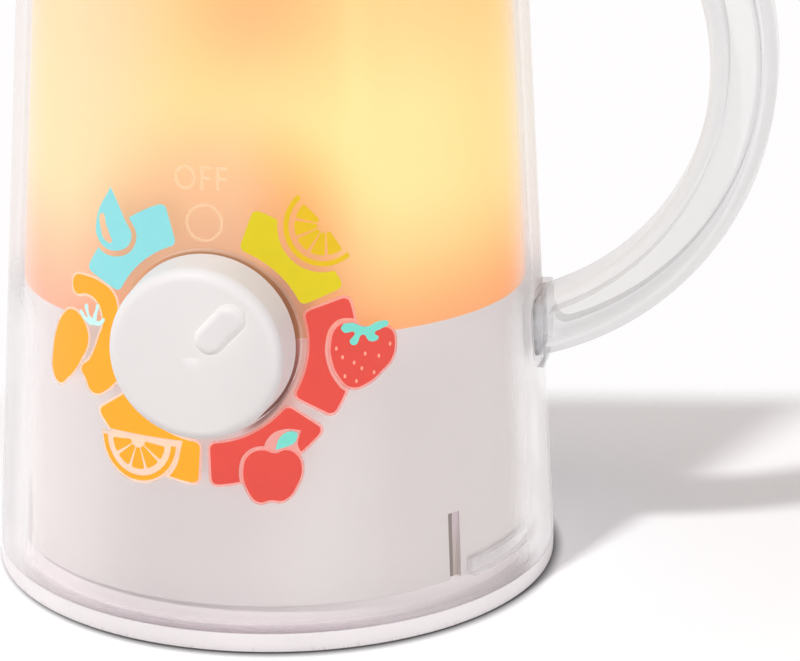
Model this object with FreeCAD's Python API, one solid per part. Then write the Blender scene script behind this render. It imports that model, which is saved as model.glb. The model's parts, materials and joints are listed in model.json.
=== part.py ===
import FreeCAD, Part
import math
import os

# A pretend blender: a clear tapered jug over a white drum and a lit frosted wall, with a turning dial.
# Millimetres. +Z is up, the dial faces -Y, the handle stands out towards +X.
# The origin is the middle of the base, on the surface that the toy stands on.

Vec = FreeCAD.Vector
UP = Vec(0, 0, 1)
FRONT = Vec(0, -1, 0)
ORIGIN = Vec(0, 0, 0)

# ---- jug: base ring, clear shell, drum, frosted wall ----
base_r = 58.0          # outer radius of the base ring
ring_h = 4.0           # upright wall of the base ring
draft_deg = 4.0        # lean of every tapered wall
drum_z = 8.0           # lower edge of the white drum
split_z = 59.5         # the drum ends and the frosted wall begins here
jug_top_z = 178.0      # top edge of the clear shell
shell_wall = 2.2
shell_edge = 0.6
shell_gap = 1.1        # air between the clear shell and what stands inside it
shell_lift = 0.1       # the shell's foot clears the base ring by this
drum_wall = 2.2
frost_wall = 1.8
slip = 0.2             # clearance of two moulded pieces that push together
fit = 0.05             # running clearance of a shaft in its hole

# ---- base pan ----
pan_lift = 1.0         # the pan's underside stands this far off the table, inside its ring
pan_floor = 2.4
foot_w = 6.0           # width of the ring that the toy stands on
foot_bevel = 0.35
floor_lap = 0.5        # the pan's floor reaches this far into the ring
shoulder_inset = 4.4   # step under the drum, in from the shell's outer face
shoulder_w = 3.0
spigot_top_z = 14.0    # the pan's upright wall ends and the drum's posts begin
spigot_wall = 2.0
post_r = 4.2           # screw posts
post_in = 11.0         # their circle, in from the base radius
post_angles = (55, 125, 205, 335)
deck_screw_in = 13.6   # the deck's screws stand nearer the axis, clear of the drum's lip
head_seat = 4.0        # solid between each case screw's head and the post's end

# ---- batteries and their door ----
cell_r = 7.25
cell_len = 50.5
cell_count = 3
cell_gap = 0.5
cell_edge = 0.6
nub_r = 2.75
nub_h = 1.0
spring_len = 5.0
contact_t = 0.4
contact_in = 1.0       # the contact plates are this much narrower than a cell, on each side
coil_r = 3.85          # middle line of the coil spring's wire
coil_wire_r = 0.35
coil_turns = 4
coil_play = 0.05       # from each end of the coil to what it presses on
bay_wall = 1.6
bay_roof = 1.6
bay_mid_y = -6.0
door_t = 2.0
door_lap = 1.4         # how far the door reaches past the bay's inside
door_clear = 0.3
landing_w = 2.0        # rim round the battery opening that the door closes against
tongue_w = 13.0
tongue_len = 8.4
tab_w = 8.0
tab_t = 1.2
tab_reach = 2.3
tab_x = 18.0
tab_room = 1.5         # room beyond a tab's end
tab_swing = 3.0        # room above a tab, for the door's swing
tab_slot_lap = 0.5     # each tab's slot reaches this far into the bay
door_boss_r = 3.4
door_boss_h = 7.0
door_boss_cap = 2.0    # solid above the door screw's hole
door_screw_bite = 3.0
grip_count = 3         # grooves for a finger on the door's tongue
grip_pitch = 2.0
grip_w = 1.0
grip_len = 16.0
grip_depth = 0.4
grip_from = 4.0        # first groove, in from the tongue's root

# ---- loudspeaker ----
speaker_r = 11.5
speaker_h = 7.0
speaker_rim = 1.5      # width and height of its rim
basket_edge = 0.8      # upright edge of the basket, above the rim
basket_t = 0.5
magnet_r = 7.0
magnet_up = 4.0        # the magnet begins this far above the pan
cone_low = 0.7         # lower edge of the cone, above the pan
cone_edge = 0.5
cone_rise = 2.7
cone_t = 0.8
cone_gap = 0.1         # from the cone's edge to the rim
dust_cap_r = 5.0
grille_hole_r = 1.0
grille_pitch = 4.2
grille_rings = 2

# ---- circuit boards ----
board_t = 1.6
main_board_x = 48.0
main_board_y = 32.0
standoff_h = 4.0
standoff_r = 2.2
standoff_edge = 1.0    # from a stand to the board's edge
chip_r = 5.9           # drop of resin over the chip
chip_h = 2.2
can_r = 2.5            # capacitor
can_h = 5.0
can_edge = 6.0         # its middle, in from the board's corner
plug_x = (-17.0, -8.0, 8.0)
plug_edge = 3.0        # the plugs' middle, in from the board's edge
plug_w = 6.0
plug_d = 4.0
plug_h = 4.0
light_board_r = 36.0
light_board_lift = 0.8
light_stand_in = 5.0   # its stands, in from its edge
light_stand_angles = (18, 90, 162)
led_r = 2.5
led_h = 5.0
led_flange = 0.4
led_flange_h = 1.0
led_edge = 9.0         # the lamps' circle, in from the board's edge
led_count = 6
lead_y = 6.0           # the leads come up through the deck here
lead_hole_r = 7.0      # hole in the light board

# ---- deck inside the drum ----
ledge_z = 52.0         # the deck lies on the drum's ledge at this height
ledge_t = 2.0
ledge_w = 1.8
lip_t = 1.2            # the drum's lip, inside the frosted wall's foot
lip_low = 4.0          # how far the lip runs down inside the drum
lip_up = 2.0           # and up behind the frosted wall
deck_t = 2.0
deck_boss_r = 3.0
deck_boss_h = 6.0
deck_hole_wider = 1.0  # the deck's hole for the leads, past the light board's
bay_room = 1.0         # room each side of the dial housing

# ---- dial ----
knob_z = 59.2          # height of the dial's axis
knob_r = 16.5          # at the back
knob_face_r = 16.1     # at the front
knob_proud = 8.6       # how far the face stands out from the clear shell
knob_dome = 0.5
knob_edge = 2.4
knob_wall = 1.8
knob_hole_r = 17.1     # hole in the clear shell
knob_back_gap = 1.6    # from the drum's face to the knob's back rim
hub_r = 5.2
hub_back = 0.4         # the hub begins this far in from the knob's back rim
rib_count = 4
rib_t = 1.2
rib_h = 4.0
rib_lap = 0.5          # the ribs reach this far into the knob's wall
bore_cap = 2.3         # solid in front of the shaft's bore
tip_gap = 0.1          # from the shaft's tip to the bore's end
pip_len = 11.0
pip_w = 5.7
pip_h = 2.0
pip_edge = 1.5
pip_offset = 7.7       # middle of the pip from the dial's axis
place_angles = (0, 43, 97, 154, 210, 267, 318)  # OFF and the six prints, clockwise from the top
pip_place = 1          # the dial is drawn pointing at this one
shaft_r = 2.95
shaft_flat = 0.8       # depth of the flat on the shaft
bush_r = 7.2
bush_proud = 1.2       # the bush stands this far out from the drum's face
shade_half_w = 23.0    # half width of the arched dial housing
shade_top_z = 96.0
shade_bottom_z = 38.0
shade_depth = 20.9     # from the drum's face back to the housing's open back
shade_gap = 1.0        # from the frosted wall
shade_wall = 2.0
back_plate_t = 2.0
plate_play = 0.6       # round the shaft, in the back plate
plate_boss_r = 2.8
plate_boss_gap = 2.5   # from the bosses' ends to the middle of the housing's wall
plate_bite = 6.0       # depth of the screw holes in the bosses
plate_screw_x = 16.5
plate_screw_low = 5.0  # the two lower screws, up from the housing's lower edge
plate_screw_high = 6.0  # the upper screw, down from its top
ear_out = 3.5          # middle of each ear's screw, out from the housing's side
ear_edge = 3.0         # solid beyond that
ear_front = 3.5        # and towards the front
ear_t = 2.0
ear_lap = 1.0          # each ear reaches this far into the housing's side
wheel_r = 12.0
wheel_t = 4.0
notch_r = 2.0
notch_depth = 1.3
leaf_out = 2.2         # the leaf's middle, out from the wheel's crests
leaf_t = 0.5
leaf_w = 3.0
leaf_post_x = 13.5
leaf_post_r = 1.6
nose_gap = 0.3         # from the leaf's nose to the wheel's crests
switch_w = 22.0
switch_t = 8.0
switch_corner = 1.5
switch_cap = 1.0       # solid behind the shaft's hole
shaft_tail = 1.5       # the shaft ends this far in from the switch's back
tag_count = 8          # solder tags at the back of the switch, one a place and one in common
tag_len = 3.0
tag_w = 1.0
tag_t = 0.6
tag_edge = 2.9         # middle of the tags, in from the switch's edge
tag_room = 1.5         # from the tags to the deck
clip_t = 0.8
clip_r = 5.4
clip_slit = 3.2

# ---- handle ----
handle_in = 19.7       # centre of the handle's arc, in from the base radius
handle_z = 102.5
handle_r = 54.2        # radius of its middle line
handle_t = 12.6        # thickness along the radius, half way up
handle_taper = 1.8     # the outer face is drawn round a centre this far out, so the handle thins to its ends
handle_w = 16.0        # width across
handle_edge = 2.0
flange_t = 3.1         # inner and outer flange of the pocketed section
web_t = 5.0
pocket_corner = 2.2
pocket_end_deg = 2.6   # solid end beyond the pocket, as an angle of the arc
run_in_deg = 10.0      # the arc runs on into the shell before it is cut to the shell's face
collar_lip = 0.8
collar_proud = 1.3
collar_clear = 0.35
collar_corner = 5.4    # outer corner of the oval collar round each handle end

# ---- snap bars between the clear shell and the drum ----
bar_start_deg = 57.0   # from the dial, round to the same angle from the back
bar_z = 7.6
bar_h = 3.2
bar_t = 1.6
bar_clear = 0.4
bar_slot_top_z = 12.0
key_deg = 52.8         # upright slot beside each bar
key_w = 2.9
key_low_z = 7.2
key_high_z = 21.4
key_depth = 1.3
slot_over_deg = 1.0    # the groove runs past each end of its bar

# ---- mixing cup, paddle, rim, lid ----
cup_gap = 1.4          # from the frosted wall's top to the cup
cup_wall = 1.8
cup_soft = 4.0         # round between the cup's floor and its wall
cup_floor_z = 104.0
cup_floor_t = 2.0
cup_flange_t = 2.0
spindle_r = 3.0
step_w = 2.0           # step round the spindle's foot
snap_h = 1.6           # the spindle's head, above the paddle's hub
snap_out = 0.5
snap_in = 0.8
snap_chamfer_h = 1.2
snap_slit = 1.0
snap_slit_h = 4.5
hub_gap = 0.4
paddle_lift = 0.1      # from the step to the hub
paddle_hub_r = 6.0
paddle_hub_h = 8.5
paddle_hub_edge = 1.2
paddle_reach = 24.0
paddle_t = 2.2
paddle_h = 7.0
fin_corner = 2.1
fin_lift = 0.4
fin_start_deg = 30.0
paddle_pitch_deg = 24.0
fin_count = 3
rim_t = 2.4
rim_skirt = 7.0
rim_wall = 1.8
lid_flange_t = 2.6
lid_flange_in = 1.5    # the lid's flange, in from the rim ring's outside
lid_flange_edge = 1.0
lid_wall = 2.2
lid_plug_h = 11.0
lid_clear = 0.4
lid_rise = 10.0
dome_foot = 1.0        # the dome begins this far out from the plug
dome_bulge = 5.0
dome_drop = 2.2        # from the dome's top down to its fullest point
dome_taper = 1.2       # the inside leans in by this much more
filler_hole_r = 14.2
filler_neck_h = 2.4
scallop_count = 12
scallop_r = 4.6        # finger dips round the flange
scallop_out = 3.4
seal_r = 0.9
cap_clear = 0.3
cap_wall = 1.8
cap_flange_r = 18.5
cap_flange_t = 2.2
cap_flange_edge = 0.8
cap_plug_h = 9.0
cap_grip_r = 12.5
cap_grip_h = 9.0
cap_grip_foot = 1.2
cap_soft = 3.0

# ---- fasteners and wires ----
screw_r = 1.4
screw_head_r = 2.6
screw_head_h = 1.8
small_screw_r = 1.1
small_head_r = 2.2
small_head_h = 1.4
bite = 8.0             # depth of the screw holes in the posts
tip_room = 1.0         # a screw ends this far short of its hole's end
recess_share = 0.6     # a cross recess's reach, as a part of its head
recess_w = 0.6
wire_r = 0.6
wire_bend = 2.0
light_bend = 1.2       # tighter, between the deck and the light board
speaker_bend = 2.4

# ---- worked out from the sizes above ----
soft_part = 1 - math.sqrt(0.5)  # a quarter round's middle lies this part of its radius in from the corner
lean = math.tan(math.radians(draft_deg))
drum_inset = shell_wall + shell_gap
pan_top_z = pan_lift + pan_floor
frost_top_z = jug_top_z - cup_flange_t
deck_top_z = ledge_z + deck_t
rim_top_z = jug_top_z + rim_t
bay_len = cell_len + spring_len + 4 * contact_t
bay_w = cell_count * (2 * cell_r + cell_gap) + cell_gap
bay_floor_z = pan_lift + door_t
cell_z = bay_floor_z + cell_gap + cell_r
cell_shift = spring_len / 2
bay_roof_z = cell_z + cell_r + cell_gap
main_board_z = bay_roof_z + bay_roof + standoff_h
board_top_z = main_board_z + board_t
plug_y = bay_mid_y + main_board_y / 2 - plug_edge
light_board_z = deck_top_z + light_board_lift
light_top_z = light_board_z + board_t
led_circle_r = light_board_r - led_edge
door_edge_y = bay_mid_y + bay_w / 2 + bay_wall + door_lap
tongue_y = bay_mid_y - bay_w / 2 - bay_wall - door_lap
door_screw_y = tongue_y - tongue_len / 2
door_boss_top_z = bay_floor_z + door_boss_h
post_circle_r = base_r - post_in
deck_screw_circle_r = base_r - deck_screw_in
handle_x = base_r - handle_in
spigot_inset = drum_inset + drum_wall + slip
lip_inset = drum_inset + frost_wall + slip


def wall_r(z, inset=0.0):
    """Outer radius of the clear shell at a height, less an inset; every tapered wall follows it."""
    return base_r - (z - ring_h) * lean - inset


seat_r = speaker_r + slip + bay_wall
speaker_y = wall_r(pan_top_z, spigot_inset + spigot_wall / 2) - seat_r
drum_face = wall_r(knob_z, drum_inset)
shade_back_y = drum_face - shade_depth
knob_face = wall_r(knob_z) + knob_proud
knob_bore_end = knob_face - bore_cap
knob_back = drum_face + knob_back_gap
shade_inset = drum_inset + frost_wall + shade_gap
shade_face = wall_r(knob_z, shade_inset)
bush_end = drum_face + bush_proud
leaf_up = wheel_r + leaf_out
leaf_end = leaf_post_x + leaf_post_r + leaf_t + fit
cavity_r = wall_r(knob_z + leaf_up + leaf_post_r + leaf_t, shade_inset + shade_wall)
wheel_front = math.sqrt(cavity_r ** 2 - leaf_end ** 2) - hub_gap + (wheel_t - leaf_w) / 2
wheel_back = wheel_front - wheel_t
clip_front = wheel_back - fit
switch_front = shade_back_y - back_plate_t
switch_back = switch_front - switch_t
deck_front_y = switch_back - tag_len - tag_room
ear_x = shade_half_w + ear_out
ear_y = shade_back_y + ear_out
plate_low = shade_bottom_z - knob_z + plate_screw_low
plate_high = shade_top_z - knob_z - plate_screw_high
plate_screws = ((-plate_screw_x, plate_low), (plate_screw_x, plate_low), (0, plate_high))
cup_r = wall_r(jug_top_z, drum_inset + frost_wall) - cup_gap
cup_in_r = cup_r - cup_wall
spindle_top_z = cup_floor_z + cup_floor_t + 2 * hub_gap + paddle_hub_h + snap_h
rim_r = wall_r(jug_top_z, -slip - rim_wall)
lid_plug_r = cup_in_r - lid_clear
lid_flange_r = rim_r - lid_flange_in
lid_top_z = rim_top_z + lid_flange_t + lid_rise
neck_r = filler_hole_r + lid_wall
seal_groove_z = jug_top_z - lid_plug_h / 2
seal_ring_r = cup_in_r - seal_r - fit


# ---- small tools of this script ----

def turned(outline, degrees=360.0, start=0.0):
    """A closed outline of (radius, height) points turned round the jug's axis."""
    points = [Vec(r, 0, z) for r, z in outline]
    face = Part.Face(Part.makePolygon(points + points[:1]))
    face.rotate(ORIGIN, UP, start)
    return face.revolve(ORIGIN, UP, degrees)


def turned_curve(start, *steps):
    """As turned, where a step is a (radius, height) point or a pair: a point on an arc and its end."""
    here = Vec(start[0], 0, start[1])
    edges = []
    for step in steps + (start,):
        if isinstance(step[0], tuple):
            middle = Vec(step[0][0], 0, step[0][1])
            there = Vec(step[1][0], 0, step[1][1])
            edges.append(Part.Arc(here, middle, there).toShape())
        else:
            there = Vec(step[0], 0, step[1])
            edges.append(Part.LineSegment(here, there).toShape())
        here = there
    return Part.Face(Part.Wire(edges)).revolve(ORIGIN, UP, 360)


def tapered(z0, z1, inset, inner_inset=None, degrees=360.0, start=0.0):
    """A wall that follows the jug's lean, or a solid plug where no inner inset is given."""
    inner = [(0, z1), (0, z0)]
    if inner_inset is not None:
        inner = [(wall_r(z1, inner_inset), z1), (wall_r(z0, inner_inset), z0)]
    outer = [(wall_r(z0, inset), z0), (wall_r(z1, inset), z1)]
    return turned(outer + inner, degrees, start)


def rod(radius, z0, z1, x=0.0, y=0.0):
    return Part.makeCylinder(radius, z1 - z0, Vec(x, y, z0), UP)


def tube(outer, inner, z0, z1, x=0.0, y=0.0):
    return rod(outer, z0, z1, x, y).cut(rod(inner, z0, z1, x, y))


def block(x0, x1, y0, y1, z0, z1):
    return Part.makeBox(x1 - x0, y1 - y0, z1 - z0, Vec(x0, y0, z0))


def rounded_edges(shape, radius, direction):
    """The straight edges that run along a direction, rounded."""
    picked = []
    for edge in shape.Edges:
        if isinstance(edge.Curve, (Part.Line, Part.LineSegment)):
            if abs(edge.tangentAt(edge.FirstParameter).dot(direction)) > 0.999:
                picked.append(edge)
    return shape.makeFillet(radius, picked)


def edges_at(shape, z, radius=None):
    """Circular edges that lie at a height, and have a radius where one is given."""
    found = []
    for edge in shape.Edges:
        flat = edge.BoundBox.ZLength < 0.001 and abs(edge.BoundBox.ZMin - z) < 0.001
        if flat and isinstance(edge.Curve, Part.Circle):
            if radius is None or abs(edge.Curve.Radius - radius) < 0.01:
                found.append(edge)
    return found


def fused(first, *others):
    return first.multiFuse(list(others)).removeSplitter()


def around(radius, degrees):
    """A point on a circle round the jug's axis, as (x, y)."""
    a = math.radians(degrees)
    return radius * math.cos(a), radius * math.sin(a)


def facing_front(shape):
    """From the dial's own frame (right, up, outwards) to the jug's, on the dial's axis."""
    out = shape.copy()
    out.rotate(ORIGIN, Vec(1, 0, 0), 90)
    out.translate(Vec(0, 0, knob_z))
    return out


def front_hole(radius):
    """A hole along the dial's axis, through every wall in front of the works."""
    return facing_front(rod(radius, base_r / 2, 2 * base_r))


def save(name, *solids):
    shape = solids[0] if len(solids) == 1 else Part.makeCompound(list(solids))
    shape.exportStep(os.path.join("parts", name + ".step"))
    print(f"{name}: {len(shape.Solids)} solid(s), {shape.Volume / 1000:.2f} cm3, valid {shape.isValid()}")


def screw(radius, head_r, head_h, length):
    """A pan-head screw along +Z: head from 0 down, shank from 0 up, a cross recess in the head."""
    body = fused(rod(radius, 0, length), rod(head_r, -head_h, 0))
    reach = head_r * recess_share
    half = recess_w / 2
    deep = -head_h * (1 - recess_share)
    cross = fused(
        block(-reach, reach, -half, half, -head_h, deep),
        block(-half, half, -reach, reach, -head_h, deep),
    )
    return body.cut(cross)


def placed(shape, x, y, z, flip=False):
    out = shape.copy()
    if flip:
        out.rotate(ORIGIN, Vec(1, 0, 0), 180)
    out.translate(Vec(x, y, z))
    return out


def flat_shaft(w0, w1):
    """The dial shaft where it has its flat; the knob and the wheel are pressed on to this section."""
    flat = shaft_r - shaft_flat
    return rod(shaft_r, w0, w1).cut(block(-shaft_r, shaft_r, flat, shaft_r, w0, w1))


# ---- base pan: ring, floor, battery bay, speaker seat, screw wells ----

def bay_box(margin, z0, z1):
    """A block over the battery bay, grown by a margin all round."""
    x = bay_len / 2 + margin
    y = bay_w / 2 + margin
    return block(-x, x, bay_mid_y - y, bay_mid_y + y, z0, z1)


def door_outline(grow, z0, z1):
    """The door's plate with its tongue, grown by a clearance."""
    plate = bay_box(bay_wall + door_lap + grow, z0, z1)
    half = tongue_w / 2 + grow
    tongue = block(-half, half, tongue_y - tongue_len - grow, tongue_y, z0, z1)
    return plate.fuse(tongue)


def grille_holes():
    """One hole in the middle and rings of six, twelve and so on round it."""
    spots = [(0.0, 0.0)]
    for ring in range(1, grille_rings + 1):
        for i in range(6 * ring):
            spots.append(around(ring * grille_pitch, 60.0 * i / ring))
    return [rod(grille_hole_r, 0, pan_top_z, x, speaker_y + y) for x, y in spots]


def base_pan():
    foot_in = base_r - foot_w
    ring = turned([
        (foot_in, 0), (base_r - foot_bevel, 0), (base_r, foot_bevel), (base_r, ring_h),
        (wall_r(ring_h, shell_wall + slip), ring_h), (foot_in, ring_h),
    ])
    floor = rod(foot_in + floor_lap, pan_lift, pan_top_z)
    shoulder = tapered(ring_h, drum_z, shoulder_inset, shoulder_inset + shoulder_w)
    spigot = tapered(pan_lift, spigot_top_z, spigot_inset, spigot_inset + spigot_wall)
    landing_z = bay_floor_z + slip / 2
    bay = bay_box(bay_wall, landing_z, bay_roof_z + bay_roof)
    landing = door_outline(landing_w, landing_z, landing_z + bay_wall)
    seat = tube(seat_r, speaker_r + slip, pan_lift, pan_top_z + speaker_h / 2, 0, speaker_y)
    bosses = [rod(post_r, pan_lift, spigot_top_z, *around(post_circle_r, a)) for a in post_angles]
    door_boss = rod(door_boss_r, landing_z, door_boss_top_z, 0, door_screw_y)
    stand_x = main_board_x / 2 - standoff_r - standoff_edge
    stand_y = main_board_y / 2 - standoff_r - standoff_edge
    stands = []
    for sx in (-1, 1):
        for sy in (-1, 1):
            stands.append(rod(standoff_r, bay_roof_z, main_board_z, sx * stand_x, bay_mid_y + sy * stand_y))
    floor = floor.cut(door_outline(door_clear, 0, pan_top_z))
    pan = fused(ring, floor, shoulder, spigot, bay, landing, door_boss, seat, *bosses, *stands)
    cuts = [bay_box(0, 0, bay_roof_z), door_outline(door_clear, 0, landing_z)] + grille_holes()
    cuts.append(rod(speaker_r + slip, pan_top_z, pan_top_z + speaker_h, 0, speaker_y))
    for a in post_angles:
        x, y = around(post_circle_r, a)
        cuts.append(rod(screw_head_r + slip, 0, spigot_top_z - head_seat, x, y))
        cuts.append(rod(screw_r + fit, 0, spigot_top_z, x, y))
    cuts.append(rod(small_screw_r + door_clear, 0, door_boss_top_z - door_boss_cap, 0, door_screw_y))
    half = tab_w / 2 + door_clear
    slot_y = bay_mid_y + bay_w / 2 - tab_slot_lap
    slot_end = door_edge_y + tab_reach + tab_room
    for mid in (-tab_x, tab_x):
        slot = block(mid - half, mid + half, slot_y, slot_end, 0, pan_top_z + tab_t + tab_swing)
        sill = block(mid - half, mid + half, door_edge_y + door_clear, slot_end, 0, pan_top_z)
        cuts.append(slot.cut(sill))
    return pan.cut(cuts[0].multiFuse(cuts[1:]))


def battery_door():
    door = door_outline(0, pan_lift, bay_floor_z)
    tabs = []
    low = pan_top_z + slip
    neck_y = door_edge_y - tab_t
    for mid in (-tab_x, tab_x):
        x0 = mid - tab_w / 2
        x1 = mid + tab_w / 2
        tabs.append(block(x0, x1, neck_y, door_edge_y + tab_reach, low, low + tab_t))
        tabs.append(block(x0, x1, neck_y, door_edge_y, pan_lift, low + tab_t))
    door = fused(door, *tabs)
    head_z = pan_lift + small_head_h
    door = door.cut(rod(small_head_r + slip, 0, head_z, 0, door_screw_y))
    door = door.cut(rod(small_screw_r + fit, 0, bay_floor_z, 0, door_screw_y))
    grooves = []
    for i in range(grip_count):
        y = tongue_y + grip_from + grip_pitch * i
        grooves.append(block(-grip_len / 2, grip_len / 2, y, y + grip_w, 0, pan_lift + grip_depth))
    return door.cut(grooves[0].multiFuse(grooves[1:]))


def battery_door_screw():
    length = bay_floor_z - pan_lift - small_head_h + door_screw_bite
    one = screw(small_screw_r, small_head_r, small_head_h, length)
    return placed(one, 0, door_screw_y, pan_lift + small_head_h)


def cell_rows():
    """Middle line of each cell and the side that its nub points to."""
    pitch = 2 * cell_r + cell_gap
    first = bay_mid_y - pitch * (cell_count - 1) / 2
    return [(first + i * pitch, 1 if i % 2 == 0 else -1) for i in range(cell_count)]


def battery_cells():
    cells = []
    for y, side in cell_rows():
        body = rod(cell_r, -cell_len / 2, cell_len / 2 - nub_h)
        ends = edges_at(body, -cell_len / 2) + edges_at(body, cell_len / 2 - nub_h)
        body = body.makeFillet(cell_edge, ends)
        nub = rod(nub_r, cell_len / 2 - nub_h, cell_len / 2)
        cell = fused(body, nub)
        cell.rotate(ORIGIN, Vec(0, 1, 0), 90 * side)
        cell.translate(Vec(side * cell_shift, y, cell_z))
        cells.append(cell)
    return cells


def coil_spring(height):
    """Half turns along +Z, each in its own slanted plane, so that they meet end to end."""
    rise = height / (2 * coil_turns)
    halves = []
    for i in range(2 * coil_turns):
        side = 1 if i % 2 == 0 else -1
        start = Vec(side * coil_r, 0, i * rise)
        middle = Vec(0, 0, (i + 0.5) * rise)
        ring = Part.Face(Part.Wire(Part.Circle(start, FRONT, coil_wire_r).toShape()))
        halves.append(ring.revolve(middle, (start - middle).cross(Vec(0, side, 0)), 180))
    return fused(*halves)


def battery_contacts():
    """A flat plate at each end of each cell, with a coil spring on the negative side."""
    pieces = []
    half = cell_r - contact_in
    seat_x = bay_len / 2 - contact_t
    height = seat_x - cell_len / 2 + cell_shift - 2 * (coil_wire_r + coil_play)
    for y, side in cell_rows():
        for end in (-1, 1):
            x0, x1 = sorted((end * seat_x, end * bay_len / 2))
            pieces.append(block(x0, x1, y - half, y + half, cell_z - half, cell_z + half))
        coil = coil_spring(height)
        coil.rotate(ORIGIN, Vec(0, 1, 0), 90 * side)
        coil.translate(Vec(side * (coil_wire_r + coil_play - seat_x), y, cell_z))
        pieces.append(coil)
    return pieces


# ---- loudspeaker ----

def speaker_frame():
    rim_top = pan_top_z + speaker_rim
    magnet_z = pan_top_z + magnet_up
    rim = tube(speaker_r, speaker_r - speaker_rim, pan_top_z, rim_top, 0, speaker_y)
    basket = turned([
        (speaker_r, rim_top), (speaker_r, rim_top + basket_edge), (magnet_r, magnet_z + basket_t),
        (magnet_r, magnet_z), (speaker_r - speaker_rim, rim_top),
    ])
    basket.translate(Vec(0, speaker_y, 0))
    magnet = rod(magnet_r, magnet_z, pan_top_z + speaker_h, 0, speaker_y)
    return fused(rim, basket, magnet)


def speaker_cone():
    edge_r = speaker_r - speaker_rim - cone_gap
    low = pan_top_z + cone_low
    top = low + cone_rise
    cone = turned([
        (edge_r, low), (edge_r, low + cone_edge), (dust_cap_r, top), (0, top),
        (0, top - cone_t), (dust_cap_r, top - cone_t),
    ])
    cone.translate(Vec(0, speaker_y, 0))
    return cone


# ---- drum, posts, deck ----

def snap_slots():
    """The drum's groove for the shell's snap bars and the upright slots beside them."""
    cuts = []
    span = 180 - 2 * bar_start_deg + 2 * slot_over_deg
    deep = shell_wall + bar_t + bar_clear
    for start in (bar_start_deg - 90, bar_start_deg + 90):
        groove = tapered(bar_z - bar_clear, bar_slot_top_z, shell_wall, deep, span, start - slot_over_deg)
        cuts.append(groove)
    for side in (-1, 1):
        x, y = around(wall_r(key_low_z, drum_inset), -90 + side * key_deg)
        slot = block(-key_depth, drum_wall, -key_w / 2, key_w / 2, key_low_z, key_high_z)
        slot.rotate(ORIGIN, UP, -90 + side * key_deg)
        slot.translate(Vec(x, y, 0))
        cuts.append(slot)
    return cuts


def drum_housing():
    wall = tapered(drum_z, split_z, drum_inset, drum_inset + drum_wall)
    ledge_in = wall_r(ledge_z, drum_inset + drum_wall + ledge_w)
    ledge = tapered(ledge_z - ledge_t, ledge_z, drum_inset + drum_wall / 2).cut(rod(ledge_in, 0, split_z))
    ledge = ledge.cut(front_bay(0, jug_top_z, 0))
    lip = tapered(split_z - lip_low, split_z + lip_up, lip_inset, lip_inset + lip_t)
    lip = lip.cut(front_bay(0, jug_top_z, 0))
    drum = fused(wall, ledge, lip)
    inside = tapered(drum_z, split_z, drum_inset + drum_wall / 2)
    posts = [rod(post_r, spigot_top_z, ledge_z, *around(post_circle_r, a)) for a in post_angles]
    drum = fused(drum, *[p.common(inside) for p in posts])
    cuts = snap_slots()
    for a in post_angles:
        x, y = around(post_circle_r, a)
        cuts.append(rod(screw_r + fit, spigot_top_z, spigot_top_z + bite, x, y))
        cuts.append(rod(small_screw_r + fit, ledge_z - bite, ledge_z, *around(deck_screw_circle_r, a)))
    cuts.append(front_hole(bush_r + slip))
    return drum.cut(cuts[0].multiFuse(cuts[1:]))


def front_bay(z0, z1, back_y):
    """The room that the dial housing and its switch take out of the deck and the light board."""
    half = shade_half_w + bay_room
    return block(-half, half, -base_r, -back_y, z0, z1)


def deck():
    r = wall_r(deck_top_z, lip_inset + lip_t + slip)
    plate = rod(r, ledge_z, deck_top_z).cut(front_bay(0, jug_top_z, deck_front_y))
    bosses = [rod(deck_boss_r, ledge_z - deck_boss_h, deck_top_z, s * ear_x, -ear_y) for s in (-1, 1)]
    stand_circle_r = light_board_r - light_stand_in
    stands = [rod(standoff_r, ledge_z, light_board_z, *around(stand_circle_r, a)) for a in light_stand_angles]
    plate = fused(plate, *bosses, *stands)
    cuts = [rod(lead_hole_r + deck_hole_wider, 0, split_z, 0, lead_y)]
    for s in (-1, 1):
        cuts.append(rod(small_screw_r + fit, 0, deck_top_z, s * ear_x, -ear_y))
    for a in post_angles:
        cuts.append(rod(small_screw_r + fit, 0, deck_top_z, *around(deck_screw_circle_r, a)))
    return plate.cut(cuts[0].multiFuse(cuts[1:]))


def light_board():
    board = rod(light_board_r, light_board_z, light_top_z)
    board = board.cut(front_bay(0, jug_top_z, deck_front_y - deck_hole_wider))
    board = board.cut(block(-base_r, base_r, -base_r, bay_room - shade_back_y, 0, jug_top_z))
    return board.cut(rod(lead_hole_r, 0, jug_top_z, 0, lead_y))


def leds():
    lamps = []
    top = light_top_z + led_h
    for i in range(led_count):
        x, y = around(led_circle_r, 180.0 * i / (led_count - 1))
        flange = rod(led_r + led_flange, light_top_z, light_top_z + led_flange_h)
        lamp = fused(rod(led_r, light_top_z, top), flange)
        lamp = lamp.makeFillet(led_r * 0.9, edges_at(lamp, top))
        lamp.translate(Vec(x, y, 0))
        lamps.append(lamp)
    return lamps


# ---- main board ----

def main_board():
    x = main_board_x / 2
    y = main_board_y / 2
    return block(-x, x, bay_mid_y - y, bay_mid_y + y, main_board_z, board_top_z)


def board_parts():
    """Resin over the chip, a can capacitor and three wire plugs."""
    z = board_top_z
    ball_r = (chip_r ** 2 + chip_h ** 2) / (2 * chip_h)
    ball = Part.makeSphere(ball_r, Vec(0, bay_mid_y, z + chip_h - ball_r))
    resin = ball.common(rod(ball_r, z, z + chip_h, 0, bay_mid_y))
    can = rod(can_r, z, z + can_h, main_board_x / 2 - can_edge, bay_mid_y + main_board_y / 2 - can_edge)
    plugs = []
    for x in plug_x:
        plug = block(-plug_w / 2, plug_w / 2, -plug_d / 2, plug_d / 2, 0, plug_h)
        plugs.append(placed(plug, x, plug_y, z))
    return [resin, can] + plugs


# ---- dial: housing, plate, wheel, spring, switch, shaft, knob ----

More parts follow.
